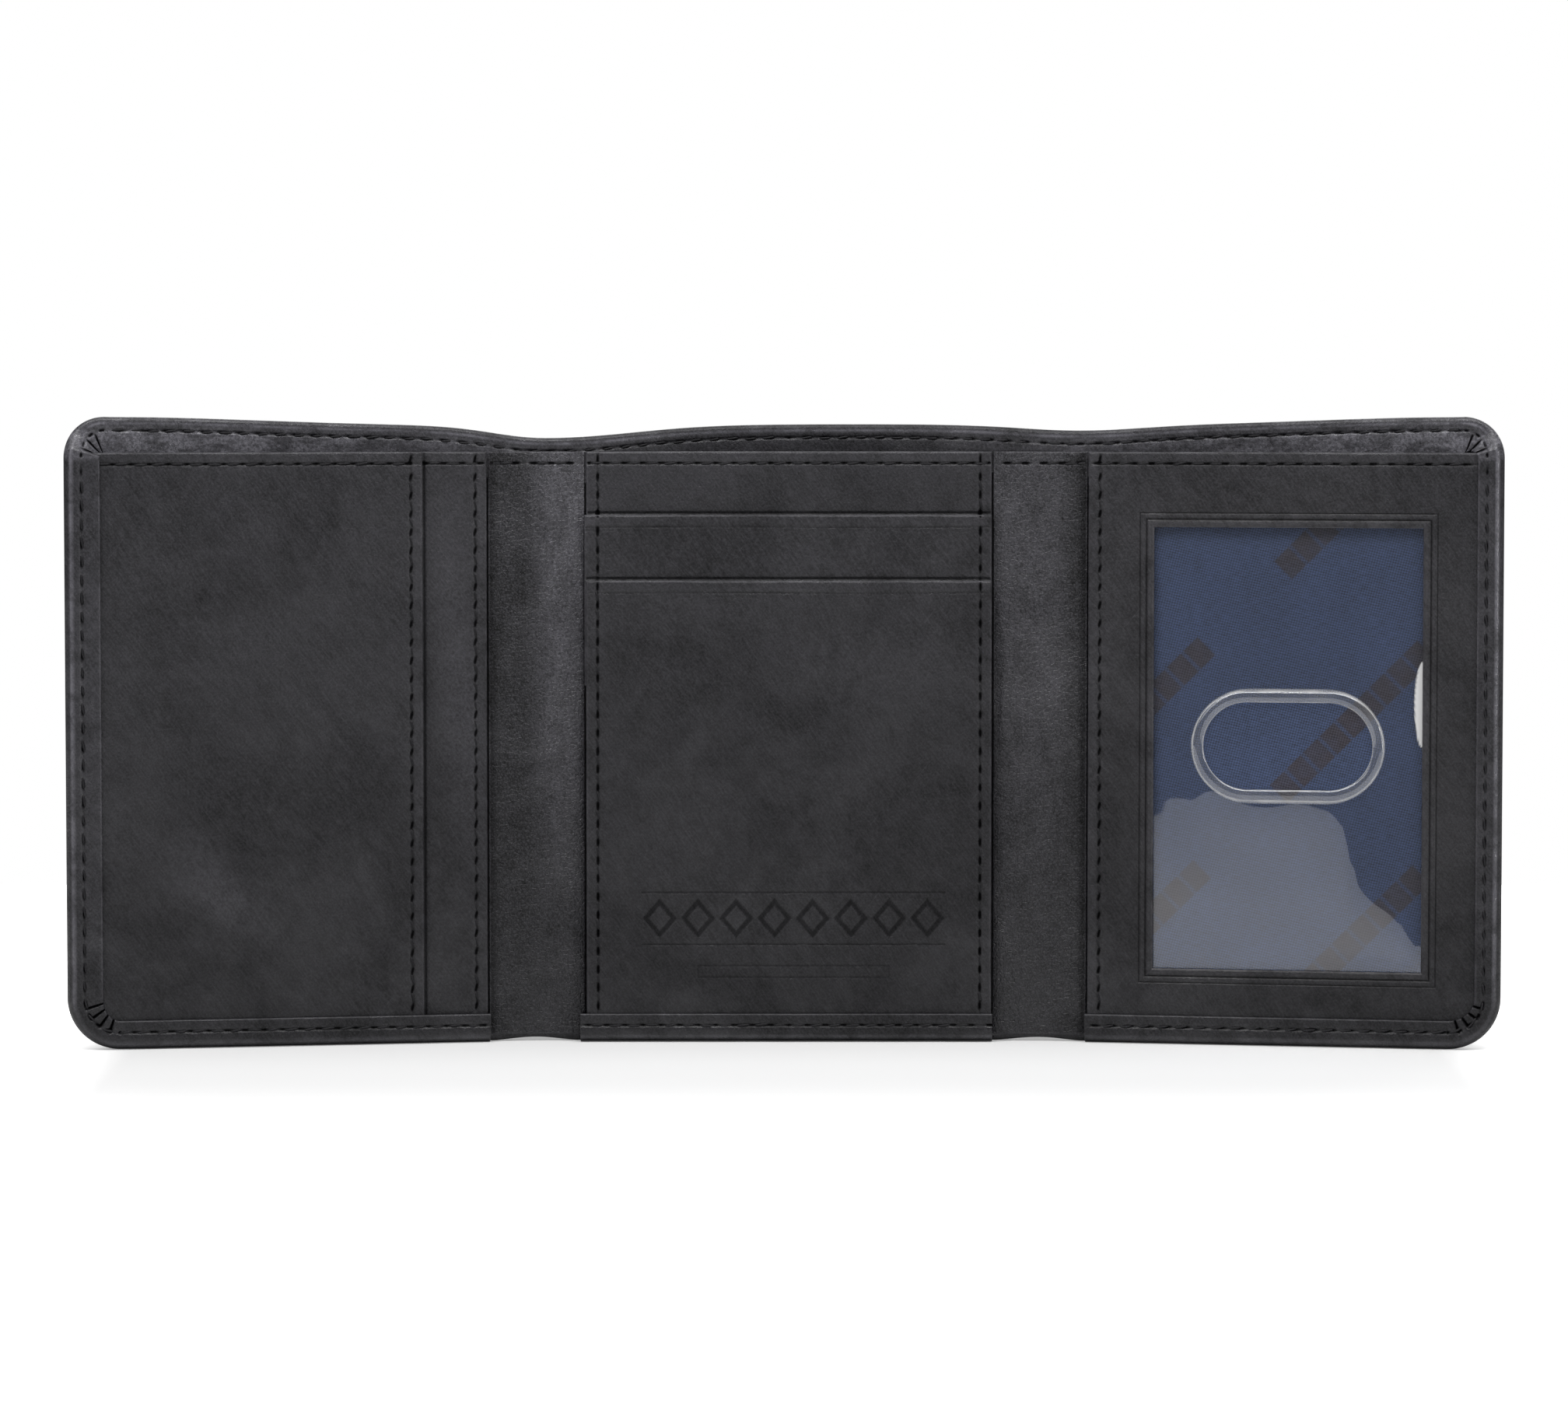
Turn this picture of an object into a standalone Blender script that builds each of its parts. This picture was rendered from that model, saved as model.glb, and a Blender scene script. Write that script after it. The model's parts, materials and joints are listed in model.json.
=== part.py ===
"""Open trifold wallet, standing on its bottom edge with both wings turned a little forward.

Each panel is laid out flat: u runs across the open wallet from the middle of the centre panel, w is the
height of a layer above the outer face of the cover, towards the viewer, and z is up. A panel's pieces hang
on an empty that stands on the crease where the panel folds, and the empties are turned to the rest pose.
"""

from math import cos, pi, radians, sin, sqrt

import bmesh
import bpy
import numpy as np
from mathutils import Vector

MM = 0.001

# Widths of the open wallet, across
CENTRE_WIDTH = 69.9 * MM
LEFT_STRIP = 17.5 * MM
RIGHT_STRIP = 17.1 * MM
LEFT_WING = 72.3 * MM
RIGHT_WING = 71.0 * MM

# Heights
INNER_TOP = 102.0 * MM
COVER_TOP = 106.6 * MM
TOP_RISE_AT_ENDS = 1.5 * MM
LEFT_FOLD_DIP = 2.3 * MM
RIGHT_FOLD_DIP = 1.0 * MM
LAYER_FOOT = 1.5 * MM
STRIP_FOOT = 1.2 * MM

# Thicknesses
COVER = 0.9 * MM
LIP = 0.6 * MM
LEATHER = 0.7 * MM
LINING = 0.2 * MM
VINYL = 0.3 * MM
THREAD = 0.3 * MM
GAP = 0.1 * MM
CARD_GAP = 0.25 * MM
THREAD_GAP = 0.05 * MM

# Cover edges
BOTTOM_CORNER = 9.0 * MM
TOP_CORNER = 7.0 * MM
LIP_CORNER = 3.5 * MM
LEFT_LIP = 6.0 * MM
RIGHT_LIP = 4.4 * MM
BOTTOM_LIP = 5.0 * MM
WALL_GAP = 0.2 * MM

# Creases. The left wing folds in first, so its creases stand closer together.
LEFT_CREASES = 9.8 * MM
CREASE_INSET = 1.0 * MM
CREASE_CUT = 0.15 * MM
CREASE_EASE = 1.0 * MM
RIGHT_SPINE_INSET = 1.05 * MM
REST_BEND = radians(5)

# Bulge of the bill compartment behind each panel
BULGE = {"left": 2.5 * MM, "centre": 5.5 * MM, "right": 4.0 * MM}
BULGE_ACROSS = (0.0, 0.1, 0.2, 0.3, 0.5, 0.7, 0.8, 0.9, 1.0)
BULGE_FLANK = 0.3
BULGE_FOOT = 6 * MM
BULGE_FULL = 52 * MM
BULGE_ROWS = 5

# Centre card slots, side pockets and ID window
UPPER_SLOT_DROP = 10.5 * MM
LOWER_SLOT_DROP = 21.8 * MM
UPPER_POCKET_DEPTH = 29.5 * MM
FRONT_POCKET_STEP = 11.2 * MM
WINDOW_WIDTH = 46.0 * MM
WINDOW_HEIGHT = 76.0 * MM
WINDOW_FROM_FOLD = 11.4 * MM
WINDOW_FROM_TOP = 12.4 * MM
THUMB_LENGTH = 29.0 * MM
THUMB_HEIGHT = 15.0 * MM
THUMB_BEAD = 1.9 * MM
BEAD_RISE = 0.4 * MM

# Seams
TOP_SEAM = 2.0 * MM
COVER_SEAM = 2.3 * MM
COVER_HEM = 8.0 * MM
SIDE_SEAM = 2.85 * MM
BOTTOM_SEAM = 3.0 * MM
CENTRE_SEAM = 2.0 * MM
HEM_SEAM = 2.0 * MM
SEAM_CORNER = 6.0 * MM

# Where each layer lies above the cover's outer face
COVER_LINING_AT = COVER + GAP
DIVIDER_AT = COVER_LINING_AT + LINING + GAP
FIRST_LAYER_AT = DIVIDER_AT + LINING + GAP

LEFT_REAR_AT = DIVIDER_AT + LINING + CARD_GAP
LEFT_FRONT_AT = LEFT_REAR_AT + LEATHER + CARD_GAP
LEFT_DEPTH = LEFT_FRONT_AT + LEATHER + GAP + LIP

UPPER_POCKET_AT = FIRST_LAYER_AT + LEATHER + CARD_GAP
LOWER_POCKET_AT = UPPER_POCKET_AT + LEATHER + CARD_GAP
CENTRE_DEPTH = LOWER_POCKET_AT + LEATHER + GAP + LIP

VINYL_AT = FIRST_LAYER_AT + LINING + CARD_GAP
FRAME_AT = VINYL_AT + VINYL + GAP
RIGHT_DEPTH = FRAME_AT + LEATHER + GAP + LIP

# How far the cutting solids reach beyond what they cut
CUT_TOP = INNER_TOP + 20 * MM
CUT_REACH = 2 * MM
CUT_SINK = GAP * 3 / 4

# Where each panel begins and ends across, and where its creases stand
CENTRE_LEFT = -CENTRE_WIDTH / 2
CENTRE_RIGHT = CENTRE_WIDTH / 2
LEFT_INNER = CENTRE_LEFT - LEFT_STRIP
LEFT_OUTER = LEFT_INNER - LEFT_WING
RIGHT_INNER = CENTRE_RIGHT + RIGHT_STRIP
RIGHT_OUTER = RIGHT_INNER + RIGHT_WING
LEFT_WING_CREASE = LEFT_INNER + CREASE_INSET
LEFT_SPINE_CREASE = LEFT_WING_CREASE + LEFT_CREASES
RIGHT_SPINE_CREASE = CENTRE_RIGHT + RIGHT_SPINE_INSET
RIGHT_WING_CREASE = RIGHT_INNER - CREASE_INSET

BLACK = (0.040, 0.038, 0.041)
COLOURS = {
    "leather": (BLACK, 0.42),
    "fold_leather": ((0.046, 0.045, 0.049), 0.38),
    "black_lining": ((0.030, 0.029, 0.031), 0.75),
    "navy_lining": ((0.055, 0.068, 0.112), 0.7),
    "vinyl": ((0.80, 0.82, 0.84), 0.12),
    "thread": ((0.012, 0.012, 0.013), 0.6),
}


# ---------------------------------------------------------------- scene, materials and bodies

for old in list(bpy.data.objects):
    bpy.data.objects.remove(old)

parts = bpy.data.collections.new("trifold_wallet")
cutters = bpy.data.collections.new("cutters")
bpy.context.scene.collection.children.link(parts)
bpy.context.scene.collection.children.link(cutters)


def make_material(name):
    colour, roughness = COLOURS[name]
    material = bpy.data.materials.new(name)
    material.use_nodes = True
    shader = material.node_tree.nodes["Principled BSDF"]
    shader.inputs["Base Color"].default_value = (*colour, 1)
    shader.inputs["Roughness"].default_value = roughness
    shader.inputs["Metallic"].default_value = 0
    return material


materials = {name: make_material(name) for name in COLOURS}


def make_body(name, parent, crease, turn):
    """An empty on a crease: the body's pieces are its children, and it turns them about the crease."""
    empty = bpy.data.objects.new(name, None)
    parts.objects.link(empty)
    empty["crease"] = crease
    empty.parent = parent
    empty.location.x = crease - (parent["crease"] if parent else 0)
    empty.rotation_euler.z = turn
    return empty


centre = make_body("centre_body", None, 0.0, 0)
left_spine = make_body("left_spine_crease", centre, LEFT_SPINE_CREASE, REST_BEND)
left_wing = make_body("left_wing_crease", left_spine, LEFT_WING_CREASE, REST_BEND)
right_spine = make_body("right_spine_crease", centre, RIGHT_SPINE_CREASE, -REST_BEND)
right_wing = make_body("right_wing_crease", right_spine, RIGHT_WING_CREASE, -REST_BEND)


def add_piece(mesh, name, body, material, place=parts):
    piece = bpy.data.objects.new(name, mesh)
    place.objects.link(piece)
    piece.parent = body
    if material:
        mesh.materials.append(materials[material])
    return piece


# ---------------------------------------------------------------- outline and bulge

def smoothstep(t):
    t = min(max(t, 0.0), 1.0)
    return t * t * (3 - 2 * t)


def cover_top(u):
    """The cover's top edge: highest at the outer ends, with a dip at each fold."""
    rise = TOP_RISE_AT_ENDS * smoothstep((abs(u) - 60 * MM) / (60 * MM))
    left_dip = LEFT_FOLD_DIP * np.exp(-((u + 42 * MM) / (13 * MM)) ** 2)
    right_dip = RIGHT_FOLD_DIP * np.exp(-((u - 50 * MM) / (14 * MM)) ** 2)
    return COVER_TOP + rise - left_dip - right_dip


def round_off(distance, radius):
    """How far a corner of this radius drops the edge, at this distance from its start."""
    if distance >= radius:
        return 0.0
    return radius - sqrt(max(radius**2 - (radius - distance) ** 2, 0.0))


def corner_columns(start, step, radius):
    """Columns that follow a round corner, from its start, towards the sign of step."""
    return [start + step * radius * (1 - cos(i * pi / 10)) for i in range(6)]


class Bulge:
    """How far the cover stands back behind a panel: zero at its seams and folds, full higher up."""

    def __init__(self, panel, low, high):
        self.depth = BULGE[panel]
        self.columns = [low + f * (high - low) for f in BULGE_ACROSS]
        self.across = [smoothstep(f / BULGE_FLANK) * smoothstep((1 - f) / BULGE_FLANK) for f in BULGE_ACROSS]
        self.rows = [BULGE_FOOT + (BULGE_FULL - BULGE_FOOT) * i / BULGE_ROWS for i in range(BULGE_ROWS + 1)]
        self.upward = [smoothstep(i / BULGE_ROWS) for i in range(BULGE_ROWS + 1)]

    def __call__(self, u, z):
        return self.depth * np.interp(u, self.columns, self.across) * np.interp(z, self.rows, self.upward)


bulges = {
    "left": Bulge("left", LEFT_OUTER + LEFT_LIP, LEFT_INNER - HEM_SEAM),
    "centre": Bulge("centre", CENTRE_LEFT, CENTRE_RIGHT),
    "right": Bulge("right", RIGHT_INNER + HEM_SEAM, RIGHT_OUTER - RIGHT_LIP),
}


# ---------------------------------------------------------------- sheets and seams

def closed_sheet(columns, rows, back, front, origin=0.0, bend=None):
    """A closed sheet on a grid. rows(u) lists each column's heights; back and front give its two depths."""
    columns = sorted(columns)
    across, up = len(columns) - 1, len(rows(columns[0])) - 1
    bm = bmesh.new()
    bmesh.ops.create_grid(bm, x_segments=across, y_segments=up, size=0.5)
    at = {v: (round((v.co.x + 0.5) * across), round((v.co.y + 0.5) * up)) for v in bm.verts}
    bmesh.ops.triangulate(bm, faces=bm.faces[:], quad_method="FIXED")

    def point(spot, depth):
        u = columns[spot[0]]
        z = rows(u)[spot[1]]
        w = depth(u, z)
        if bend:
            return Vector((*bend(u, w), z))
        return Vector((u - origin, -w, z))

    grid = bm.verts[:]
    sides = [e for e in bm.edges if e.is_boundary]
    twin = {v: bm.verts.new(point(at[v], front)) for v in grid}
    for face in bm.faces[:]:
        bm.faces.new([twin[v] for v in reversed(face.verts)])
    for edge in sides:
        a, b = edge.verts
        bm.faces.new((a, b, twin[b], twin[a]))
    for v in grid:
        v.co = point(at[v], back)
    bmesh.ops.recalc_face_normals(bm, faces=bm.faces[:])
    mesh = bpy.data.meshes.new("sheet")
    bm.to_mesh(mesh)
    bm.free()
    return mesh


def level(depth):
    return lambda u, z: depth


def flat_sheet(name, body, material, across, heights, at, thickness, outer=None, inset=0.0):
    """A flat layer. Beside the wallet's outer edge its bottom corner is rounded to lie in the cover's."""
    low, high = across
    radius = BOTTOM_CORNER - inset
    columns = [low, high]
    if outer == "low":
        columns = [high] + corner_columns(low, 1, radius)
    if outer == "high":
        columns = [low] + corner_columns(high, -1, radius)

    def rows(u):
        drop = {None: radius, "low": u - low, "high": high - u}[outer]
        return [heights[0] + round_off(drop, radius), heights[1]]

    mesh = closed_sheet(columns, rows, level(at), level(at + thickness), body["crease"])
    return add_piece(mesh, name, body, material)


def cut(piece, mesh):
    """Take a cutter's mesh away from a piece."""
    cutter = add_piece(mesh, "cut_" + piece.name, piece.parent, None, cutters)
    cutter.hide_render = True
    cutter.display_type = "WIRE"
    modifier = piece.modifiers.new("cut", "BOOLEAN")
    modifier.operation = "DIFFERENCE"
    modifier.object = cutter


def seam(name, body, route):
    """A sewn seam's thread, as a thin tube through points (u, w, z)."""
    curve = bpy.data.curves.new(name, "CURVE")
    curve.dimensions = "3D"
    curve.bevel_depth = THREAD / 2
    curve.bevel_resolution = 1
    curve.use_fill_caps = True
    spline = curve.splines.new("POLY")
    spline.points.add(len(route) - 1)
    for point, (u, w, z) in zip(spline.points, route):
        point.co = (u - body["crease"], -w, z, 1)
    return add_piece(curve, name, body, "thread")


def on_face(depth):
    """Where a thread's middle lies, on a face at this depth."""
    return depth + THREAD_GAP + THREAD / 2


# ---------------------------------------------------------------- the cover

def make_cover(name, body, panel, across, inner, depth, outer=None, lip=0.0):
    """The cover behind a panel: a plate that bulges back, turned over along its outer and bottom edges."""
    low, high = across
    bulge = bulges[panel]

    def from_outer(u):
        return {None: 1.0, "low": u - low, "high": high - u}[outer]

    def columns_for(inset, reach):
        """Columns across the panel, starting inset from its outer edge and running reach past its creases."""
        ends = [low - reach, high + reach]
        if outer == "low":
            ends = [high + reach] + corner_columns(low + inset, 1, BOTTOM_CORNER - inset)
        if outer == "high":
            ends = [low - reach] + corner_columns(high - inset, -1, BOTTOM_CORNER - inset)
        start, end = min(ends), max(ends)
        return ends + [u for u in bulge.columns if start < u < end and from_outer(u) > BOTTOM_CORNER]

    def outline(inset, reach):
        """Rows of a panel outline that lies inset from the edge and runs reach past the top."""

        def rows(u):
            distance = from_outer(u) - inset
            foot = inset + round_off(distance, BOTTOM_CORNER - inset)
            head = cover_top(u) + reach
            if not reach:
                head -= round_off(distance, TOP_CORNER)
            steps = [max(z, foot + (i + 1) * MM) for i, z in enumerate(bulge.rows)]
            return [foot] + steps + [head]

        return rows

    def plate(offset):
        return lambda u, z: offset - bulge(u, z)

    origin = body["crease"]
    block = closed_sheet(columns_for(0, 0), outline(0, 0), plate(0), level(depth), origin)
    piece = add_piece(block, name, body, "leather")

    hollow = columns_for(COVER, MM)
    cut(piece, closed_sheet(hollow, outline(COVER, MM), plate(COVER), level(depth - LIP), origin))

    opening_low = low + lip if outer == "low" else low - MM
    opening_high = high - lip if outer == "high" else high + MM
    window = [opening_low, opening_high]
    if outer == "low":
        window = [opening_high] + corner_columns(opening_low, 1, LIP_CORNER)
    if outer == "high":
        window = [opening_low] + corner_columns(opening_high, -1, LIP_CORNER)

    def window_rows(u):
        return [BOTTOM_LIP + round_off(from_outer(u) - lip, LIP_CORNER), CUT_TOP]

    behind_lip = level(depth - LIP - LIP / 2)
    cut(piece, closed_sheet(window, window_rows, behind_lip, level(depth + MM), origin))

    for crease, edge, side in ((low, inner[0], 1), (high, inner[1], -1)):
        if edge is None:
            continue
        clear_fold(piece, crease, edge, side, depth, origin)
    return piece


def clear_fold(piece, crease, edge, side, depth, origin):
    """Leave only the cover between a panel's inner layers and its crease, cut at 45 degrees to fold shut."""

    def tall(u):
        return [-MM, CUT_TOP]

    beyond = crease - side * CUT_REACH
    cut(piece, closed_sheet([beyond, edge], tall, level(COVER), level(depth + MM), origin))
    cut(piece, mitre(crease, side, origin))


def mitre(crease, side, origin):
    """A wedge over a crease: narrow at the cover's outer face and a cover's thickness wider inside."""

    def tall(u):
        return [-MM, CUT_TOP]

    def slanted(u, w):
        return u - origin + (side * (w + CREASE_CUT) if u == crease else 0), -w

    return closed_sheet([crease, crease - side * CUT_REACH], tall, level(-MM / 10), level(COVER + MM / 10),
                        bend=slanted)


def make_spine(name, body, creases):
    """The cover between the two creases of a fold."""
    columns = [creases[0] + (creases[1] - creases[0]) * i / 4 for i in range(5)]
    mesh = closed_sheet(columns, lambda u: [0, cover_top(u)], level(0), level(COVER), body["crease"])
    piece = add_piece(mesh, name, body, "leather")
    for crease, side in zip(creases, (1, -1)):
        cut(piece, mitre(crease, side, body["crease"]))
    return piece


def cover_lining(name, body, panel, across, outer=None):
    """The lining on the cover's inside, below its top hem, bulging back with it."""
    low, high = across
    bulge = bulges[panel]
    radius = BOTTOM_CORNER - COVER - WALL_GAP
    ends = [low, high]
    if outer == "low":
        ends = [high] + corner_columns(low, 1, radius)
    if outer == "high":
        ends = [low] + corner_columns(high, -1, radius)

    def from_outer(u):
        return {None: 2 * radius, "low": u - low, "high": high - u}[outer]

    inside = [u for u in bulge.columns if low < u < high and from_outer(u) > radius]

    def rows(u):
        foot = LAYER_FOOT + round_off(from_outer(u), radius)
        steps = [max(z, foot + (i + 1) * MM) for i, z in enumerate(bulge.rows)]
        return [foot] + steps + [cover_top(u) - COVER_HEM]

    def back(u, z):
        return COVER_LINING_AT - bulge(u, z)

    def front(u, z):
        return COVER_LINING_AT + LINING - bulge(u, z)

    mesh = closed_sheet(sorted(set(ends + inside)), rows, back, front, body["crease"])
    return add_piece(mesh, name, body, "black_lining")


EDGE = COVER + WALL_GAP
left_layers = (LEFT_OUTER + EDGE, LEFT_INNER)
right_layers = (RIGHT_INNER, RIGHT_OUTER - EDGE)
centre_layers = (CENTRE_LEFT, CENTRE_RIGHT)
layer_heights = (LAYER_FOOT, INNER_TOP)

make_cover("cover_left", left_wing, "left", (LEFT_OUTER, LEFT_WING_CREASE), (None, LEFT_INNER),
           LEFT_DEPTH, "low", LEFT_LIP)
make_cover("cover_centre", centre, "centre", (LEFT_SPINE_CREASE, RIGHT_SPINE_CREASE), centre_layers,
           CENTRE_DEPTH)
make_cover("cover_right", right_wing, "right", (RIGHT_WING_CREASE, RIGHT_OUTER), (RIGHT_INNER, None),
           RIGHT_DEPTH, "high", RIGHT_LIP)
make_spine("cover_spine_left", left_spine, (LEFT_WING_CREASE, LEFT_SPINE_CREASE))
make_spine("cover_spine_right", right_spine, (RIGHT_SPINE_CREASE, RIGHT_WING_CREASE))

cover_lining("cover_lining_left", left_wing, "left", left_layers, "low")
cover_lining("cover_lining_centre", centre, "centre", centre_layers)
cover_lining("cover_lining_right", right_wing, "right", right_layers, "high")


# ---------------------------------------------------------------- inner layers

for side, body, across, outer in (("left", left_wing, left_layers, "low"),
                                  ("centre", centre, centre_layers, None),
                                  ("right", right_wing, right_layers, "high")):
    flat_sheet("divider_lining_" + side, body, "black_lining", across, layer_heights, DIVIDER_AT, LINING,
               outer, EDGE)

front_pocket_edge = LEFT_INNER - FRONT_POCKET_STEP
flat_sheet("left_rear_pocket", left_wing, "leather", left_layers, layer_heights, LEFT_REAR_AT, LEATHER,
           "low", EDGE)
flat_sheet("left_front_pocket", left_wing, "leather", (left_layers[0], front_pocket_edge), layer_heights,
           LEFT_FRONT_AT, LEATHER, "low", EDGE)

upper_slot = INNER_TOP - UPPER_SLOT_DROP
lower_slot = INNER_TOP - LOWER_SLOT_DROP
upper_pocket_foot = upper_slot - UPPER_POCKET_DEPTH
flat_sheet("centre_back_panel", centre, "leather", centre_layers, layer_heights, FIRST_LAYER_AT, LEATHER)
flat_sheet("upper_card_pocket", centre, "leather", centre_layers, (upper_pocket_foot, upper_slot),
           UPPER_POCKET_AT, LEATHER)
flat_sheet("upper_pocket_lining", centre, "black_lining", centre_layers,
           (LAYER_FOOT, upper_pocket_foot - 3 * GAP), UPPER_POCKET_AT + LEATHER / 2, LINING)
flat_sheet("lower_card_pocket", centre, "leather", centre_layers, (LAYER_FOOT, lower_slot),
           LOWER_POCKET_AT, LEATHER)

flat_sheet("id_backing_lining", right_wing, "navy_lining", right_layers, layer_heights, FIRST_LAYER_AT,
           LINING, "high", EDGE)


# ---------------------------------------------------------------- ID window

window_low = RIGHT_INNER + WINDOW_FROM_FOLD
window_high = window_low + WINDOW_WIDTH
window_head = INNER_TOP - WINDOW_FROM_TOP
window_foot = window_head - WINDOW_HEIGHT
window_middle = ((window_low + window_high) / 2, (window_head + window_foot) / 2)


def stadium(length, height, back, front):
    """A closed solid with round ends, standing in the window's middle."""
    radius = height / 2
    bm = bmesh.new()
    for side in (-1, 1):
        shift = Vector((side * (length / 2 - radius), 0, 0))
        round_end = bmesh.ops.create_cone(bm, cap_ends=True, segments=32, radius1=radius, radius2=radius,
                                          depth=front - back)
        bmesh.ops.translate(bm, verts=round_end["verts"], vec=shift)
    hull = bmesh.ops.convex_hull(bm, input=bm.verts[:])
    spare = [e for e in hull["geom_interior"] + hull["geom_unused"] if isinstance(e, bmesh.types.BMVert)]
    bmesh.ops.delete(bm, geom=spare, context="VERTS")
    bmesh.ops.dissolve_limit(bm, angle_limit=radians(1), verts=bm.verts[:], edges=bm.edges[:])
    middle_u, middle_z = window_middle
    for v in bm.verts:
        x, y, depth = v.co
        v.co = Vector((middle_u - right_wing["crease"] + x, -(back + front) / 2 - depth, middle_z + y))
    bmesh.ops.recalc_face_normals(bm, faces=bm.faces[:])
    mesh = bpy.data.meshes.new("stadium")
    bm.to_mesh(mesh)
    bm.free()
    return mesh


id_window = flat_sheet("id_window", right_wing, "vinyl", right_layers, layer_heights, VINYL_AT, VINYL,
                       "high", EDGE)
bead = stadium(THUMB_LENGTH + 2 * THUMB_BEAD, THUMB_HEIGHT + 2 * THUMB_BEAD, VINYL_AT + VINYL / 2,
               VINYL_AT + VINYL + BEAD_RISE)
bead_object = add_piece(bead, "thumb_hole_bead", right_wing, None, cutters)
bead_object.hide_render = True
bead_object.display_type = "WIRE"
weld = id_window.modifiers.new("bead", "BOOLEAN")
weld.operation = "UNION"
weld.object = bead_object
cut(id_window, stadium(THUMB_LENGTH, THUMB_HEIGHT, VINYL_AT - MM, VINYL_AT + VINYL + CUT_REACH))

window_frame = flat_sheet("window_frame", right_wing, "leather", right_layers, layer_heights, FRAME_AT,
                          LEATHER, "high", EDGE)
cut(window_frame, closed_sheet([window_low, window_high], lambda u: [window_foot, window_head],
                               level(FRAME_AT - CUT_SINK), level(FRAME_AT + 2 * LEATHER),
                               right_wing["crease"]))


# ---------------------------------------------------------------- fold strips and fold linings

def fold_bend(creases, turns):
    """Lay a strip over both creases of a fold in the rest pose, easing each bend over a short length."""
    direction = 1 if creases[1] > creases[0] else -1
    spacing = abs(creases[1] - creases[0])

    def bend(u, w):
        past_first = (u - creases[0]) * direction
        if past_first < 0:
            x, y = u, 0.0
        else:
            between = min(past_first, spacing)
            beyond = past_first - between
            x = creases[0] + direction * (between * cos(turns) + beyond * cos(2 * turns))
            y = direction * (between * sin(turns) + beyond * sin(2 * turns))
        lean = sum(turns * smoothstep(((u - crease) * direction + CREASE_EASE) / (2 * CREASE_EASE))
                   for crease in creases)
        return x + w * sin(lean), y - w * cos(lean)

    return bend


def fold_layer(name, body, material, across, creases, turn, heights, at, thickness):
    """A sheet that lies over both creases of a fold, in the rest pose."""
    low, high = across
    near = [c + d for c in creases for d in (-MM, 0, MM)]
    columns = sorted({low, high, *[u for u in near if low < u < high]})
    mesh = closed_sheet(columns, heights, level(at), level(at + thickness), bend=fold_bend(creases, turn))
    piece = add_piece(mesh, name, body, material)
    bpy.context.view_layer.update()
    piece.matrix_parent_inverse = body.matrix_world.inverted()
    return piece


def strip_heights(u):
    return [STRIP_FOOT, INNER_TOP]


def lining_heights(u):
    return [STRIP_FOOT, cover_top(u) - COVER_HEM]


STRIP_GAP = 3 * GAP
folds = (
    ("left", left_spine, (LEFT_INNER, CENTRE_LEFT), (LEFT_SPINE_CREASE, LEFT_WING_CREASE), REST_BEND),
    ("right", right_spine, (CENTRE_RIGHT, RIGHT_INNER), (RIGHT_SPINE_CREASE, RIGHT_WING_CREASE), -REST_BEND),
)
for side, body, (low, high), creases, turn in folds:
    span = (low + STRIP_GAP, high - STRIP_GAP)
    fold_layer("cover_lining_fold_" + side, body, "black_lining", span, creases, turn, lining_heights,
               COVER_LINING_AT, LINING)
    fold_layer("fold_strip_" + side, body, "fold_leather", span, creases, turn, strip_heights,
               DIVIDER_AT, LEATHER)


# ---------------------------------------------------------------- seams

def perimeter_route(outer_edge, inner_edge, depth):
    """Down the outer side, round the bottom corner and along the bottom, on the lip."""
    side = 1 if inner_edge > outer_edge else -1
    start = outer_edge + side * SIDE_SEAM
    w = on_face(depth)
    route = [(start, w, INNER_TOP - TOP_SEAM)]
    for i in range(6):
        angle = i * pi / 10
        u = start + side * SEAM_CORNER * (1 - cos(angle))
        route.append((u, w, BOTTOM_SEAM + SEAM_CORNER * (1 - sin(angle))))
    route.append((inner_edge - side * MM, w, BOTTOM_SEAM))
    return route


def cover_top_route(low, high, bulge):
    """Along the hem at the cover's top edge, on its inside."""
    columns = [low] + [u for u in bulge.columns if low < u < high] + [high]
    return [(u, on_face(COVER) - bulge(u, INNER_TOP), cover_top(u) - COVER_SEAM) for u in columns]


def stepped_route(u, levels):
    """Up a side seam over layers of different depth: levels lists (depth, from height, to height)."""
    return [(u, on_face(w), z) for w, low, high in levels for z in (low, high)]


top_seam = INNER_TOP - TOP_SEAM
above_lip = BOTTOM_LIP + MM
step = 0.6 * MM
front_face = LEFT_FRONT_AT + LEATHER
rear_face = LEFT_REAR_AT + LEATHER
lower_face = LOWER_POCKET_AT + LEATHER
upper_face = UPPER_POCKET_AT + LEATHER
band_face = FIRST_LAYER_AT + LEATHER
frame_face = FRAME_AT + LEATHER

seam("thread_left_perimeter", left_wing, perimeter_route(LEFT_OUTER, LEFT_INNER, LEFT_DEPTH))
seam("thread_right_perimeter", right_wing, perimeter_route(RIGHT_OUTER, RIGHT_INNER, RIGHT_DEPTH))
seam("thread_centre_bottom", centre,
     [(u, on_face(CENTRE_DEPTH), BOTTOM_SEAM) for u in (CENTRE_LEFT + MM, CENTRE_RIGHT - MM)])

centre_levels = ((lower_face, above_lip, lower_slot - step), (lower_face, lower_slot - step, lower_slot + step),
                 (upper_face + step / 2, lower_slot + 2 * step, upper_slot - step),
                 (upper_face, upper_slot - step, upper_slot + step),
                 (band_face + step / 2, upper_slot + 2 * step, top_seam - 2 * MM))
for side, u in (("left", CENTRE_LEFT + CENTRE_SEAM), ("right", CENTRE_RIGHT - CENTRE_SEAM)):
    seam("thread_centre_" + side, centre, stepped_route(u, centre_levels))
seam("thread_centre_top", centre,
     [(u, on_face(band_face), top_seam) for u in (CENTRE_LEFT + MM, CENTRE_RIGHT - MM)])

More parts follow.
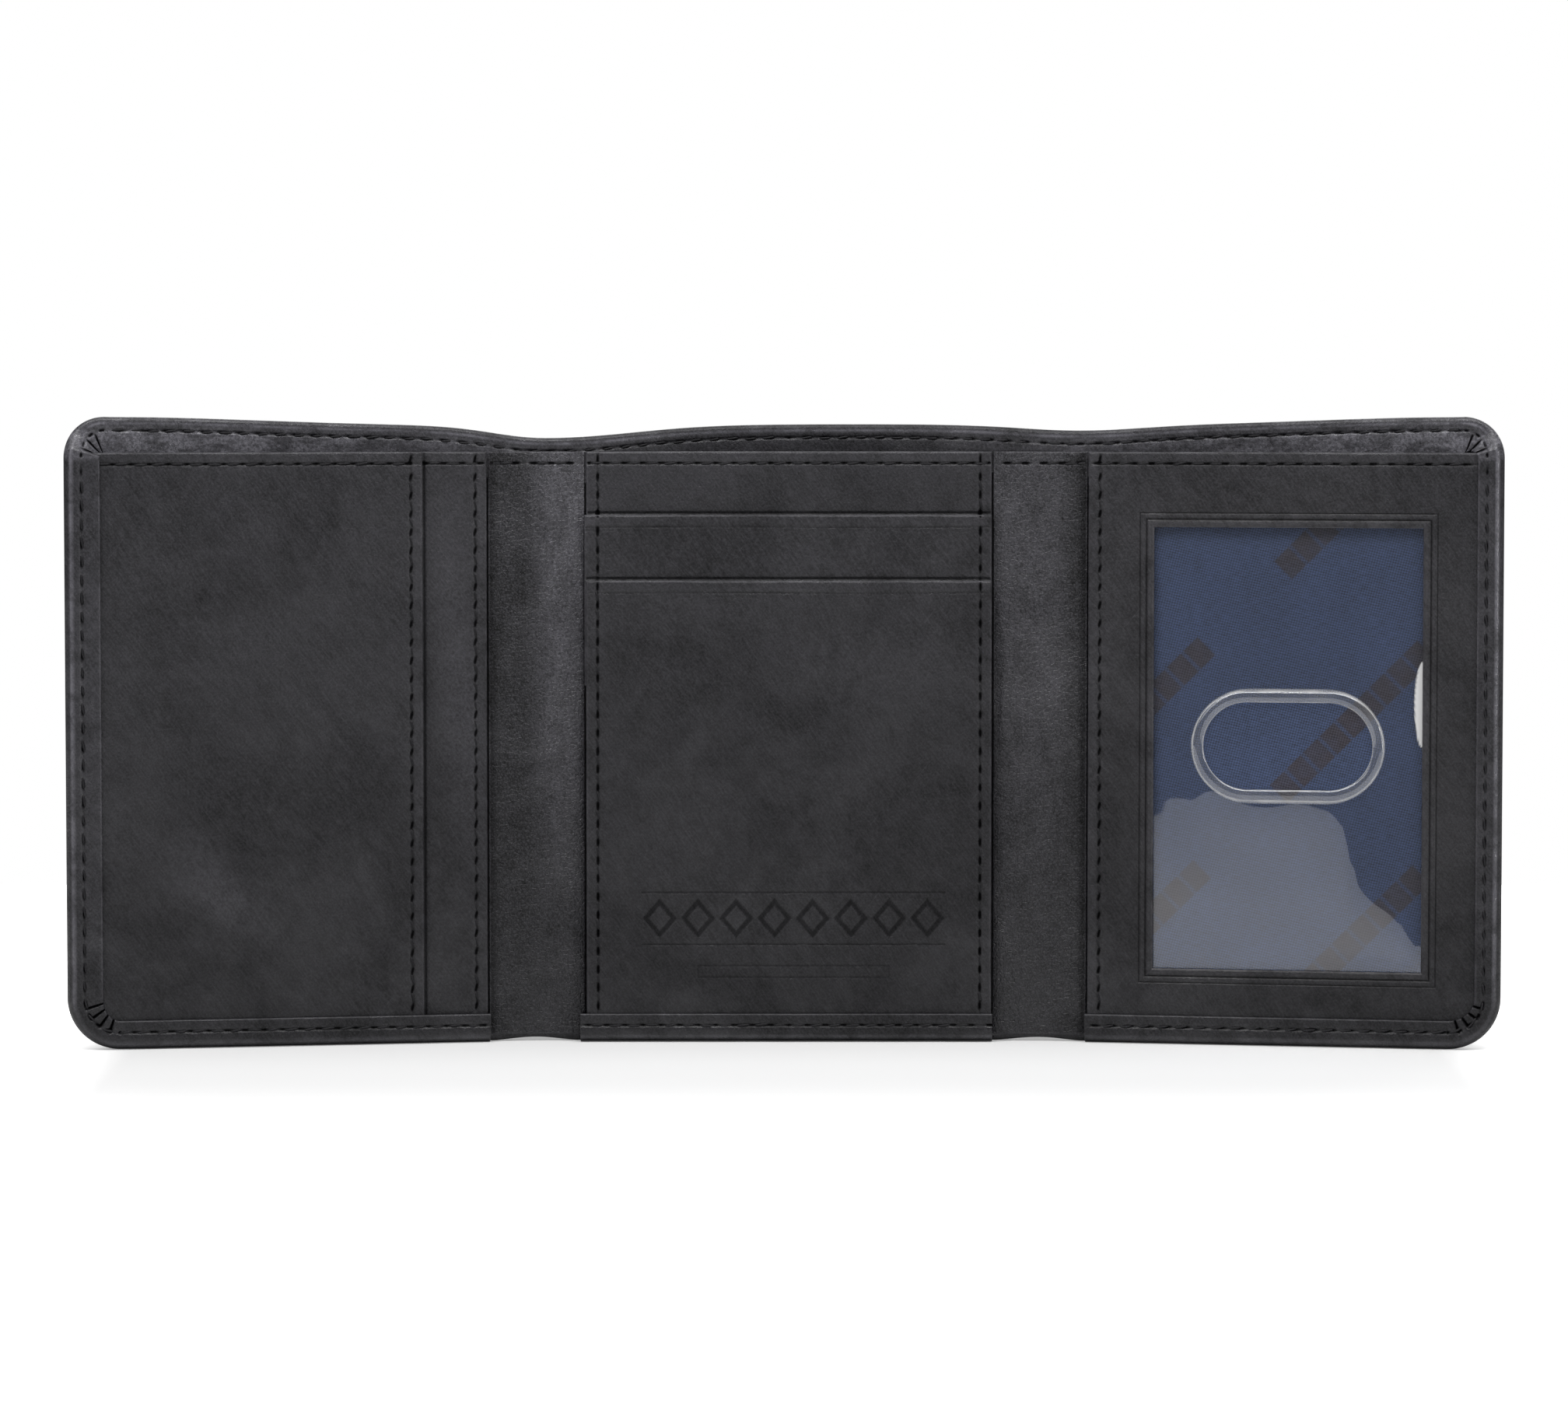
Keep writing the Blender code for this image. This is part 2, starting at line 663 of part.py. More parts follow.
seam("thread_left_front_top", left_wing,
     [(u, on_face(front_face), top_seam) for u in (LEFT_OUTER + LEFT_LIP + MM, front_pocket_edge - MM)])
seam("thread_left_rear_top", left_wing,
     [(u, on_face(rear_face), top_seam) for u in (front_pocket_edge + MM, LEFT_INNER - MM)])
seam("thread_front_pocket_hem", left_wing,
     [(front_pocket_edge - HEM_SEAM, on_face(front_face), z) for z in (above_lip, top_seam - MM)])
seam("thread_rear_pocket_hem", left_wing,
     [(LEFT_INNER - HEM_SEAM, on_face(rear_face), z) for z in (above_lip, top_seam - MM)])
seam("thread_right_top", right_wing,
     [(u, on_face(frame_face), top_seam) for u in (RIGHT_INNER + MM, RIGHT_OUTER - RIGHT_LIP - MM)])
seam("thread_frame_hem", right_wing,
     [(RIGHT_INNER + HEM_SEAM, on_face(frame_face), z) for z in (above_lip, top_seam - MM)])

seam("thread_cover_top_left", left_wing,
     cover_top_route(LEFT_OUTER + LEFT_LIP + MM, LEFT_INNER - MM, bulges["left"]))
seam("thread_cover_top_centre", centre,
     cover_top_route(CENTRE_LEFT + MM, CENTRE_RIGHT - MM, bulges["centre"]))
seam("thread_cover_top_right", right_wing,
     cover_top_route(RIGHT_INNER + MM, RIGHT_OUTER - RIGHT_LIP - MM, bulges["right"]))


# ---------------------------------------------------------------- origin at the base's middle

bpy.context.view_layer.update()
depsgraph = bpy.context.evaluated_depsgraph_get()
points = []
for piece in parts.objects:
    if piece.type == "EMPTY":
        continue
    solid = piece.evaluated_get(depsgraph)
    points += [piece.matrix_world @ v.co for v in solid.to_mesh().vertices]
    solid.to_mesh_clear()
for axis in (0, 1):
    spread = [point[axis] for point in points]
    centre.location[axis] -= (min(spread) + max(spread)) / 2
bpy.context.view_layer.update()
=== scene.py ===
"""A trifold leather wallet, open and standing on its lower edge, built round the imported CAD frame.

Every sewn layer is modelled in flat coordinates, in millimetres: u runs across the open wallet from the
middle of the centre panel, w rises from the cover's outer plane towards the viewer, and z is the height.
lay() then bends those coordinates over the four creases into the rest pose, in metres.
"""
import json
from math import cos, pi, radians, sin

import bmesh
import bpy
import numpy as np
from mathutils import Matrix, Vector


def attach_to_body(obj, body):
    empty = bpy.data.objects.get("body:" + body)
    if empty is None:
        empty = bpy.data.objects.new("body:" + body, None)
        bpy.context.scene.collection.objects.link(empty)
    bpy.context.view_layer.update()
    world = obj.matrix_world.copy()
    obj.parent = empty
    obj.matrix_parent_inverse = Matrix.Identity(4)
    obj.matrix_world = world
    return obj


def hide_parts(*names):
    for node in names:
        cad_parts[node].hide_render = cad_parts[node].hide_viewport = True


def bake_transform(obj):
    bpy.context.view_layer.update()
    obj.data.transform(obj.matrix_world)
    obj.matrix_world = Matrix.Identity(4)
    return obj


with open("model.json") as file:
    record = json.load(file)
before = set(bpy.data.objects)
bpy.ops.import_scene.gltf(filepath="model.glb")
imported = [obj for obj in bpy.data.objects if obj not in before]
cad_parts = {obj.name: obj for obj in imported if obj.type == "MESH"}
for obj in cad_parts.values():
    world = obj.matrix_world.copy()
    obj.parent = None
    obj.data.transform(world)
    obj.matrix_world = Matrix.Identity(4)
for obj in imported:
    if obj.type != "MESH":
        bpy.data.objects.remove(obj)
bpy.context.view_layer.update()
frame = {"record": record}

MM = 0.001
CM = 10.0

# ---------------------------------------------------------------- measures, in millimetres

CENTRE_HALF = 34.95
LEFT_INNER, LEFT_OUTER = -52.45, -124.75
RIGHT_INNER, RIGHT_OUTER = 52.05, 123.05
LEFT_WING_CREASE, LEFT_SPINE_CREASE = -51.45, -41.65
RIGHT_SPINE_CREASE, RIGHT_WING_CREASE = 36.0, 51.05
LEFT_SPLIT = (LEFT_WING_CREASE + LEFT_SPINE_CREASE) / 2
RIGHT_SPLIT = (RIGHT_SPINE_CREASE + RIGHT_WING_CREASE) / 2
REST_TURN = radians(5)
CREASE_EASE = 1.3

INNER_TOP = 102.0
LAYER_FOOT = 1.5
STRIP_FOOT = 1.2
LEATHER, LINING, VINYL = 0.7, 0.2, 0.3

COVER_LINING_AT = 1.0
DIVIDER_AT = 1.3
STRIP_AT = 1.3
FIRST_AT = 1.6
LEFT_REAR_AT, LEFT_FRONT_AT = 1.75, 2.7
UPPER_POCKET_AT, LOWER_POCKET_AT = 2.55, 3.5
VINYL_AT, FRAME_AT = 2.05, 2.45
LEFT_DEPTH, CENTRE_DEPTH, RIGHT_DEPTH = 4.1, 4.9, 3.85
FOLD_DEPTH = 1.2
TOP_DEPTH = 1.7

LEFT_LIP, RIGHT_LIP, BOTTOM_LIP = 6.0, 4.4, 5.0
BOTTOM_CORNER, TOP_CORNER = 9.0, 7.0
TOP_HEM, TOP_HEM_END = 8.0, 6.5
LAYER_INSET = 1.1

FRONT_POCKET_EDGE = LEFT_INNER - 11.2
UPPER_SLOT, LOWER_SLOT = INNER_TOP - 10.9, INNER_TOP - 22.2
UPPER_POCKET_FOOT = UPPER_SLOT - 29.5
WINDOW_LOW, WINDOW_HIGH = RIGHT_INNER + 11.4, RIGHT_INNER + 57.4
WINDOW_HEAD, WINDOW_FOOT = INNER_TOP - 12.9, INNER_TOP - 88.9
THUMB_Z = INNER_TOP - 50.4
THUMB_LENGTH, THUMB_HEIGHT, THUMB_BEAD, BEAD_RISE = 29.0, 15.0, 1.9, 0.4

TOP_SEAM_Z = INNER_TOP - 2.0
COVER_SEAM, SIDE_SEAM, BOTTOM_SEAM = 2.3, 2.85, 3.0
HEM_SEAM = 2.0
SLOT_PRESS = 2.1
PITCH = 3.15


def ease(x):
    """Smoothstep from 0 to 1."""
    x = np.clip(x, 0, 1)
    return x * x * (3 - 2 * x)


def bump(x):
    """1 at x = 0, falling smoothly to 0 as x nears 1 on either side."""
    return 1 - ease(np.abs(x))


def ridge(distance, height, width):
    """A rounded ridge along distance = 0."""
    return height * np.exp(-(distance / width) ** 2)


# ---------------------------------------------------------------- the fold path

def path_turn(u):
    """The cover's turn towards the viewer at each place across, at rest."""
    turn = np.zeros_like(u)
    for crease in (LEFT_SPINE_CREASE, LEFT_WING_CREASE):
        turn += REST_TURN * ease((crease - u + CREASE_EASE) / (2 * CREASE_EASE))
    for crease in (RIGHT_SPINE_CREASE, RIGHT_WING_CREASE):
        turn -= REST_TURN * ease((u - crease + CREASE_EASE) / (2 * CREASE_EASE))
    return turn


joint_place = {joint["name"]: joint["pos_m"] for joint in frame["record"]["behaviour"]["joints"]}
ORIGIN_X = joint_place["left_inner_fold"][0] - LEFT_SPINE_CREASE * MM
ORIGIN_Y = joint_place["left_inner_fold"][1]

PATH_STEP = 0.05
PATH_U = np.arange(-140.0, 140.0 + PATH_STEP / 2, PATH_STEP)
PATH_TURN = path_turn(PATH_U)
PATH_X = np.concatenate([[0], np.cumsum(np.cos((PATH_TURN[1:] + PATH_TURN[:-1]) / 2)) * PATH_STEP])
PATH_Y = np.concatenate([[0], np.cumsum(np.sin((PATH_TURN[1:] + PATH_TURN[:-1]) / 2)) * PATH_STEP])
PATH_X -= np.interp(0, PATH_U, PATH_X)
PATH_Y -= np.interp(0, PATH_U, PATH_Y)


def lay(flat):
    """Flat coordinates (u, w, z) in millimetres to places in the row frame, in metres."""
    u, w, z = flat[..., 0], flat[..., 1], flat[..., 2]
    turn = np.interp(u, PATH_U, PATH_TURN)
    x = np.interp(u, PATH_U, PATH_X) + w * np.sin(turn)
    y = np.interp(u, PATH_U, PATH_Y) - w * np.cos(turn)
    return np.stack([ORIGIN_X + x * MM, ORIGIN_Y + y * MM, z * MM], -1)


COVER_TOP, WING_RISE = 106.6, 1.5


def cover_top(u):
    """Height of the cover's top edge, lower where the folds pull it down."""
    u = np.asarray(u, float)
    rise = WING_RISE * ease((np.abs(u) - 60) / 60)
    left_dip = ridge(u + 42, 2.3, np.where(u > -42, 21.0, 13.0))
    right_dip = ridge(u - 50, 1.0, 14)
    return COVER_TOP + rise - left_dip - right_dip


BULGES = ((LEFT_OUTER + LEFT_LIP, LEFT_INNER - HEM_SEAM, 2.5),
          (-CENTRE_HALF, CENTRE_HALF, 5.5),
          (RIGHT_INNER + HEM_SEAM, RIGHT_OUTER - RIGHT_LIP, 4.0))


def bulge(u, z):
    """How far the cover stands back from the inner layers, for the bill compartment."""
    total = np.zeros(np.broadcast(u, z).shape)
    for low, high, depth in BULGES:
        f = (u - low) / (high - low)
        total = total + depth * ease(f / 0.3) * ease((1 - f) / 0.3)
    return total * ease((z - 6) / 46)


def ripple(u, z, wavelength, seed, stretch=1.0):
    """Smooth undulation between about -1 and 1, the same on every run. stretch lengthens it in height."""
    rng = np.random.default_rng(seed)
    total = 0.0
    for _ in range(7):
        angle, phase = rng.uniform(0, 2 * pi, 2)
        size = wavelength * rng.uniform(0.7, 1.7)
        total = total + np.sin((u * cos(angle) + z * sin(angle) / stretch) * 2 * pi / size + phase)
    return total / 3.5


# ---------------------------------------------------------------- mesh helpers

def points(u, w, z):
    """One list of flat points from three arrays of one shape."""
    return np.stack([u, w, z], -1).reshape(-1, 3)


def reshape(mesh, *steps):
    """Change a mesh by bmesh steps."""
    bm = bmesh.new()
    bm.from_mesh(mesh)
    for step in steps:
        step(bm)
    bm.to_mesh(mesh)
    bm.free()


def face_outward(bm):
    bmesh.ops.recalc_face_normals(bm, faces=bm.faces[:])


def weld_within(distance):
    """A bmesh step that joins the points that lie within a distance of each other."""
    return lambda bm: bmesh.ops.remove_doubles(bm, verts=bm.verts[:], dist=distance * MM)


def make_piece(name, flat, faces, material, sharp=50, weld=0.0, painted_furrow_shade=None, pale_and_highlight=None):
    """A mesh piece from flat coordinates, which are kept on it as the attribute that its material reads.

    The two attributes, from 0 to 1 at each point, tell the material where to paint shade in furrows, and
    where edges are paler by wear and by painted highlight.
    """
    mesh = bpy.data.meshes.new(name)
    mesh.from_pydata(lay(flat).tolist(), [], faces)
    spread = mesh.attributes.new("flat", "FLOAT_VECTOR", "POINT")
    spread.data.foreach_set("vector", (flat / CM).astype(np.float32).ravel())
    for label, amount in (("painted_furrow_shade", painted_furrow_shade), ("pale_and_highlight", pale_and_highlight)):
        if amount is not None:
            mesh.attributes.new(label, "FLOAT", "POINT").data.foreach_set("value", amount.astype(np.float32))
    if weld:
        reshape(mesh, weld_within(weld), face_outward)
    mesh.polygons.foreach_set("use_smooth", [True] * len(mesh.polygons))
    mesh.set_sharp_from_angle(angle=radians(sharp))
    mesh.materials.append(material)
    piece = bpy.data.objects.new(name, mesh)
    bpy.context.collection.objects.link(piece)
    return piece


EDGE_STEPS = (0.02, 0.07, 0.15, 0.26, 0.4, 0.65, 1.0)
FINE_REACH, FINE_STEP = 0.6, 0.15
SMALLEST_STEP = 0.012


def stations(low, high, coarse, marks=(), spans=()):
    """Places from low to high: coarse ones, and finer ones at both ends, near each mark and in each span."""
    fine = [low, high] + [low + s for s in EDGE_STEPS] + [high - s for s in EDGE_STEPS]
    kept_clear = [(low, low + EDGE_STEPS[-1]), (high - EDGE_STEPS[-1], high)]
    for mark in marks:
        fine += list(np.arange(mark - FINE_REACH, mark + FINE_REACH + 0.01, FINE_STEP))
        kept_clear.append((mark - FINE_REACH, mark + FINE_REACH))
    for start, end, step in spans:
        fine += list(np.linspace(start, end, int(round((end - start) / step)) + 1))
        kept_clear.append((start, end))
    spaced = np.linspace(low, high, int((high - low) / coarse) + 2)
    margin = coarse * 0.3
    free = [s for s in spaced if not any(a - margin < s < b + margin for a, b in kept_clear)]
    places = np.sort(np.array([s for s in fine if low <= s <= high] + free))
    places = places[np.concatenate([[True], np.diff(places) > SMALLEST_STEP])]
    places[-1] = high
    return places


def grid_faces(index, keep=None, flip=False):
    """Quads over a 2-D array of vertex numbers. Unflipped, they face the viewer where u and z both rise."""
    a, b, c, d = index[:-1, :-1], index[1:, :-1], index[1:, 1:], index[:-1, 1:]
    quads = np.stack([a, b, c, d] if not flip else [a, d, c, b], -1)
    return quads[keep] if keep is not None else quads.reshape(-1, 4)


def used_points(faces):
    """The points that faces use, and the faces renumbered over them, without repeated corners."""
    faces = [list(dict.fromkeys(face)) for face in np.concatenate(faces).tolist()]
    faces = [face for face in faces if len(face) > 2]
    used = sorted({point for face in faces for point in face})
    number = {point: i for i, point in enumerate(used)}
    return used, [[number[point] for point in face] for face in faces]


SUNK_DEPTH, WORN_AND_LIT_EDGE_REACH = 0.32, 0.30
RAISED_HEIGHT = 0.12
FOOT_REACH, HEAD_FROM, HEAD_REACH = 14.0, 80.0, 20.0


def undulation(*parts):
    """A sum of ripples, each an amount, a wavelength, a seed and how much longer it is upright."""
    def waves(u, z):
        return sum(amount * ripple(u, z, *rest) for amount, *rest in parts)

    return waves


def slab(name, material, us, zs, at, thickness, relief=None, waves=None, sway=None, foot=None, head=None,
         opening=None, split=None, raised_wear_and_highlight=0.5):
    """A closed sheet of one thickness with rounded edges, and pressed relief and waves on its front.

    sway(u, z) moves both faces, and foot(u) and head(u) lift the bottom and top edges. opening, as (low,
    high, foot, head), leaves a rectangular hole. The end at u = split is cut square, to meet the other half.
    The last argument sets how much paler the raised relief is, by wear and painted highlight, from 0 to 1.
    """
    U, Z = np.meshgrid(us, zs, indexing="ij")
    if foot is not None:
        settled = zs[0] + FOOT_REACH
        Z = Z + np.clip((settled - Z) / (settled - zs[0]), 0, 1) * foot(U)
    far = np.minimum(Z - Z[:, :1], zs[-1] - Z)
    cut = None
    for column, from_end in ((0, U - us[0]), (-1, us[-1] - U)):
        if split is not None and abs(us[column] - split) < 1e-6:
            cut = column
        else:
            far = np.minimum(far, from_end)
    if head is not None:
        Z = Z + head(U) * ease((Z - HEAD_FROM) / HEAD_REACH)
    keep = np.ones((len(us) - 1, len(zs) - 1), bool)
    if opening is not None:
        low, high, bottom, top = opening
        outside = np.maximum(np.maximum(low - U, U - high), np.maximum(bottom - Z, Z - top))
        far = np.minimum(far, np.maximum(outside, 0))
        mid_u, mid_z = (U[:-1, :-1] + U[1:, 1:]) / 2, (Z[:-1, :-1] + Z[1:, 1:]) / 2
        keep = ~((mid_u > low) & (mid_u < high) & (mid_z > bottom) & (mid_z < top))
    radius = thickness / 2
    inside = np.clip(far / radius, 0, 1)
    rounding = radius * (1 - np.sqrt(1 - np.clip(1 - far / radius, 0, 1) ** 2))
    shift = sway(U, Z) if sway is not None else 0.0
    carved = relief(U, Z) * inside if relief is not None else np.zeros(U.shape)
    front = at + thickness - rounding + shift + carved
    if waves is not None:
        front = front + waves(U, Z) * inside
    back = at + rounding + shift
    # painted shade: the material darkens the colour and the gloss where the front is pressed in
    painted_furrow_shade = np.concatenate([np.clip(-carved / SUNK_DEPTH, 0, 1).ravel(), np.zeros(U.size)])
    # paler rounded edges and raised relief: partly wear, partly painted highlight
    pale_and_highlight = np.maximum(ridge(far, 1, WORN_AND_LIT_EDGE_REACH), raised_wear_and_highlight * np.clip(carved / RAISED_HEIGHT, 0, 1))
    index = np.arange(U.size).reshape(U.shape)
    quads_here = np.zeros(U.shape, int)
    for i in (0, 1):
        for j in (0, 1):
            quads_here[i:i + keep.shape[0], j:j + keep.shape[1]] += keep
    rim = (quads_here > 0) & (quads_here < 4)
    if cut is not None:
        rim[cut, 1:-1] = False
    behind = np.where(rim, index, index + U.size)
    faces = [grid_faces(index, keep), grid_faces(behind, keep, flip=True)]
    if cut is not None:
        wall = np.stack([index[cut], behind[cut]])
        faces.append(grid_faces(wall if cut == -1 else wall[::-1]))
    used, faces = used_points(faces)
    flat = np.concatenate([points(U, front, Z), points(U, back, Z)])
    return make_piece(name, flat[used], faces, material, painted_furrow_shade=painted_furrow_shade[used],
                      pale_and_highlight=np.tile(pale_and_highlight.ravel(), 2)[used])


SLIT_DEPTH, SLIT_WIDTH, SLIT_LENGTH = 0.28, 0.24, 0.75
PUFF, PUFF_WIDTH = 0.06, 1.1


def groove(distance, along, slant=0.0):
    """A sewn line's furrow, with a slit at each needle hole and the leather puffed a little between them."""
    beat = np.cos(2 * pi * along / PITCH)
    step = ((along / PITCH + 0.5) % 1 - 0.5) * PITCH
    slit = ridge(distance - slant * step, 1, SLIT_WIDTH) * np.exp(-(step / SLIT_LENGTH) ** 4)
    return line(distance, 0.13, 0.30) - SLIT_DEPTH * slit + ridge(distance, PUFF, PUFF_WIDTH) * (1 - beat) / 2


def line(distance, depth, width):
    """A pressed line."""
    return -ridge(distance, depth, width)


def corner_foot(outer, side):
    """Lifts a layer's bottom corner clear of the cover's rounded corner."""
    radius = BOTTOM_CORNER - LAYER_INSET

    def foot(u):
        inward = np.clip((u - outer) * side, 0, radius)
        return radius - np.sqrt(radius ** 2 - (radius - inward) ** 2)

    return foot


# ---------------------------------------------------------------- node materials

class Nodes:
    """A short way to write a node tree."""

    def __init__(self, name):
        self.material = bpy.data.materials.new(name)
        self.material.use_nodes = True
        self.tree = self.material.node_tree
        self.tree.nodes.clear()
        self.output = self.tree.nodes.new("ShaderNodeOutputMaterial")
        self.flat = self.add("ShaderNodeAttribute", attribute_name="flat").outputs["Vector"]

    def add(self, kind, inputs=None, **settings):
        node = self.tree.nodes.new(kind)
        for key, value in settings.items():
            setattr(node, key, value)
        for key, value in (inputs or {}).items():
            self.set(node.inputs[key], value)
        return node

    def set(self, socket, value):
        if isinstance(value, bpy.types.NodeSocket):
            self.tree.links.new(value, socket)
        else:
            socket.default_value = value

    def attribute(self, name):
        return self.add("ShaderNodeAttribute", attribute_name=name).outputs["Fac"]

    def math(self, operation, a, b=0.0, c=0.0, clamp=False):
        node = self.add("ShaderNodeMath", operation=operation, use_clamp=clamp)
        for socket, value in zip(node.inputs, (a, b, c)):
            self.set(socket, value)
        return node.outputs[0]

    def over(self, operation, first, *others):
        """One operation applied along a list of values."""
        for other in others:
            first = self.math(operation, first, other)
        return first

    def plus(self, *terms):
        return self.over("ADD", *terms)

    def times(self, *factors):
        return self.over("MULTIPLY", *factors)

    def most(self, *values):
        return self.over("MAXIMUM", *values)

    def axis(self, name, vector=None):
        """One coordinate of a vector, or else of the flat coordinates, in centimetres."""
        return self.add("ShaderNodeSeparateXYZ", {0: self.flat if vector is None else vector}).outputs[name]

    def across(self):
        """The flat coordinate u, in millimetres."""
        return self.times(self.axis("X"), CM)

    def height(self):
        """The flat coordinate z, in millimetres."""
        return self.times(self.axis("Z"), CM)

    def stretched(self, scale, turn=0):
        """Flat coordinates scaled on each axis, and then turned by so many degrees."""
        return self.add("ShaderNodeMapping", {"Vector": self.flat, "Scale": scale,
                                              "Rotation": (0, radians(turn), 0)}).outputs[0]

    def streaked(self, turn, thin):
        """Flat coordinates for marks that run turn degrees down to the right, thin times as long as wide."""
        values = {"Vector": self.flat, "Rotation": (0, radians(turn), 0), "Scale": (1.0, 1.0, 1.0 / thin)}
        return self.add("ShaderNodeMapping", values, vector_type="TEXTURE").outputs[0]

    def noise(self, scale, detail=3.0, rough=0.5, vector=None, distortion=0.0):
        vector = self.flat if vector is None else vector
        return self.add("ShaderNodeTexNoise", {"Vector": vector, "Scale": scale, "Detail": detail,
                                               "Roughness": rough, "Distortion": distortion}).outputs[0]

    def cells(self, scale, vector=None, feature="F1"):
        vector = self.flat if vector is None else vector
        return self.add("ShaderNodeTexVoronoi", {"Vector": vector, "Scale": scale},
                        feature=feature).outputs["Distance"]

    def span(self, value, low, high, out_low=0.0, out_high=1.0, kind="SMOOTHSTEP"):
        """The value's place from low to high, as a value from out_low to out_high."""
        values = {"Value": value, "From Min": low, "From Max": high, "To Min": out_low, "To Max": out_high}
        return self.add("ShaderNodeMapRange", values, interpolation_type=kind).outputs[0]

    def mix(self, factor, a, b, blend="MIX"):
        node = self.add("ShaderNodeMix", {0: factor, 6: a, 7: b}, data_type="RGBA", blend_type=blend)
        return node.outputs[2]

    def shaded(self, colour, shade):
        """A colour multiplied by one value."""
        both = self.add("ShaderNodeCombineColor", {0: shade, 1: shade, 2: shade})
        return self.mix(1.0, colour, both.outputs[0], "MULTIPLY")

    def bump(self, height, distance, normal=None):
        node = self.add("ShaderNodeBump", {"Height": height, "Distance": distance * MM, "Strength": 1.0})
        if normal is not None:
            self.set(node.inputs["Normal"], normal)
        return node.outputs[0]

    def principled(self, **inputs):
        node = self.add("ShaderNodeBsdfPrincipled")
        for key, value in inputs.items():
            self.set(node.inputs[key.replace("_", " ")], value)
        return node.outputs[0]

    def done(self, shader):
        self.set(self.output.inputs["Surface"], shader)
        return self.material


def grey(value, tint=(1.0, 1.0, 1.0)):
    """A grey, or a dark colour of one tint, with full alpha."""
    return (value * tint[0], value * tint[1], value * tint[2], 1.0)


COOL = (1.0, 0.975, 1.10)
MARK_PALER, WEAR_AND_HIGHLIGHT_PALER, WEAR_SMOOTHER = 0.4, 1.3, 0.10
LOW_TO_HIGH_SHADE, FURROW_SHADE = (0.69, 1.10), 0.12


def scratches(n, turn, scale, low, high):
    """Fine straight marks along one direction."""
    return n.span(n.noise(scale, 2.0, 0.5, n.streaked(turn, 26.0)), low, high)


def leather(name, base=0.026, rough=0.46, grain=0.045, pull=0.0, cloud=0.20, worn=None, crackle=0.0):
    """Burnished black leather: cloudy colour, a slanting nap, faint pores, fine scratches and painted shade
    in its furrows.

    pull adds upright stretch marks, and crackle adds fine dark cracks with paler leather between them.
    worn(n) is a mask of where it is paler and shinier: painted highlight and sheen, with some wear.
    """
    n = Nodes(name)
    clouds = n.noise(0.45, 4.0, 0.62, distortion=0.6)
    mottle = n.noise(2.6, 6.0, 0.7, distortion=0.4)
    speck = n.noise(26.0, 3.0, 0.65)
    nap = n.noise(4.2, 3.0, 0.6, n.streaked(54, 9.0))
    marks = n.most(scratches(n, 38, 1.1, 0.70, 0.75), scratches(n, -52, 0.9, 0.71, 0.76))
    painted_furrow_shade = n.attribute("painted_furrow_shade")
    pale_and_highlight = n.times(n.attribute("pale_and_highlight"), n.span(mottle, 0.35, 0.6, 0.35, 1.0))
    if worn is not None:
        pale_and_highlight = n.most(pale_and_highlight, n.times(worn(n), n.span(n.noise(20.0, 4.0, 0.75), 0.36, 0.64, 0.45, 1.55)))
    shade = n.plus(n.span(clouds, 0.32, 0.68, 1 - cloud, 1 + cloud), n.span(mottle, 0.3, 0.7, -cloud, cloud),
                   n.span(speck, 0.35, 0.7, -0.26, 0.38), n.span(nap, 0.34, 0.68, -0.20, 0.24))
    if crackle:
        cracks = n.cells(21.0, n.stretched((1.0, 1.0, 0.8)), "DISTANCE_TO_EDGE")
        shade = n.plus(shade, n.span(cracks, 0.02, 0.22, -crackle, 0.5 * crackle))
    # paler by wear and painted highlight on edges, lip rolls, hem, fold strips and panel patches
    shade = n.plus(shade, n.times(marks, MARK_PALER), n.times(pale_and_highlight, WEAR_AND_HIGHLIGHT_PALER))
    # painted light: darker towards the bottom and lighter towards the top, and painted shade in the furrows
    shade = n.times(shade, n.span(n.height(), 0.0, 100.0, *LOW_TO_HIGH_SHADE, "LINEAR"),
                    n.span(painted_furrow_shade, 0.05, 0.9, 1.0, FURROW_SHADE))
    roughness = n.plus(n.span(mottle, 0.3, 0.7, rough + 0.08, rough - 0.08),
                       n.span(clouds, 0.3, 0.7, 0.06, -0.07))
    roughness = n.math("SUBTRACT", roughness, n.times(n.most(marks, pale_and_highlight), WEAR_SMOOTHER))
    # painted shade also dims the gloss in the furrows
    polish = n.times(n.span(clouds, 0.3, 0.7, 0.26, 0.42), n.span(painted_furrow_shade, 0.05, 0.9, 1.0, 0.15))
    pores, creases = n.cells(19.0), n.cells(12.0, feature="DISTANCE_TO_EDGE")
    fine = n.plus(n.times(n.span(pores, 0.0, 0.55), 0.5), n.times(n.span(creases, 0.0, 0.12), 0.5),
                  n.times(speck, 0.6))
    normal = n.bump(n.noise(1.7, 3.0, 0.55), 0.16, n.bump(fine, grain))
    if pull:
        upright = n.noise(6.0, 4.0, 0.6, n.stretched((1.0, 1.0, 0.16)), distortion=0.8)
        normal = n.bump(upright, pull, normal)
    return n.done(n.principled(Base_Color=n.shaded(grey(base, COOL), shade), Roughness=roughness,
                               Normal=normal, Specular_IOR_Level=polish))


def hem_sheen_and_wear(n):
    """Painted sheen, with some wear, in patches on the cover's turned top hem, most below its seam and
    towards the wings' ends.
    """
    height = n.height()
    out = n.times(n.math("ABSOLUTE", n.axis("X")), CM)
    above_seam = n.math("SUBTRACT", height, n.span(out, 60.0, 120.0, 104.3, 105.8))
    patchy = n.span(n.noise(5.0, 5.0, 0.7, n.stretched((0.5, 1.0, 1.4))), 0.36, 0.6, 0.25, 1.0)
    amount = n.times(n.span(above_seam, -0.3, 0.4, 2.1, 0.85), n.span(out, 25.0, 105.0, 0.15, 1.3))
    return n.times(n.span(height, 100.0, 102.5), patchy, amount)


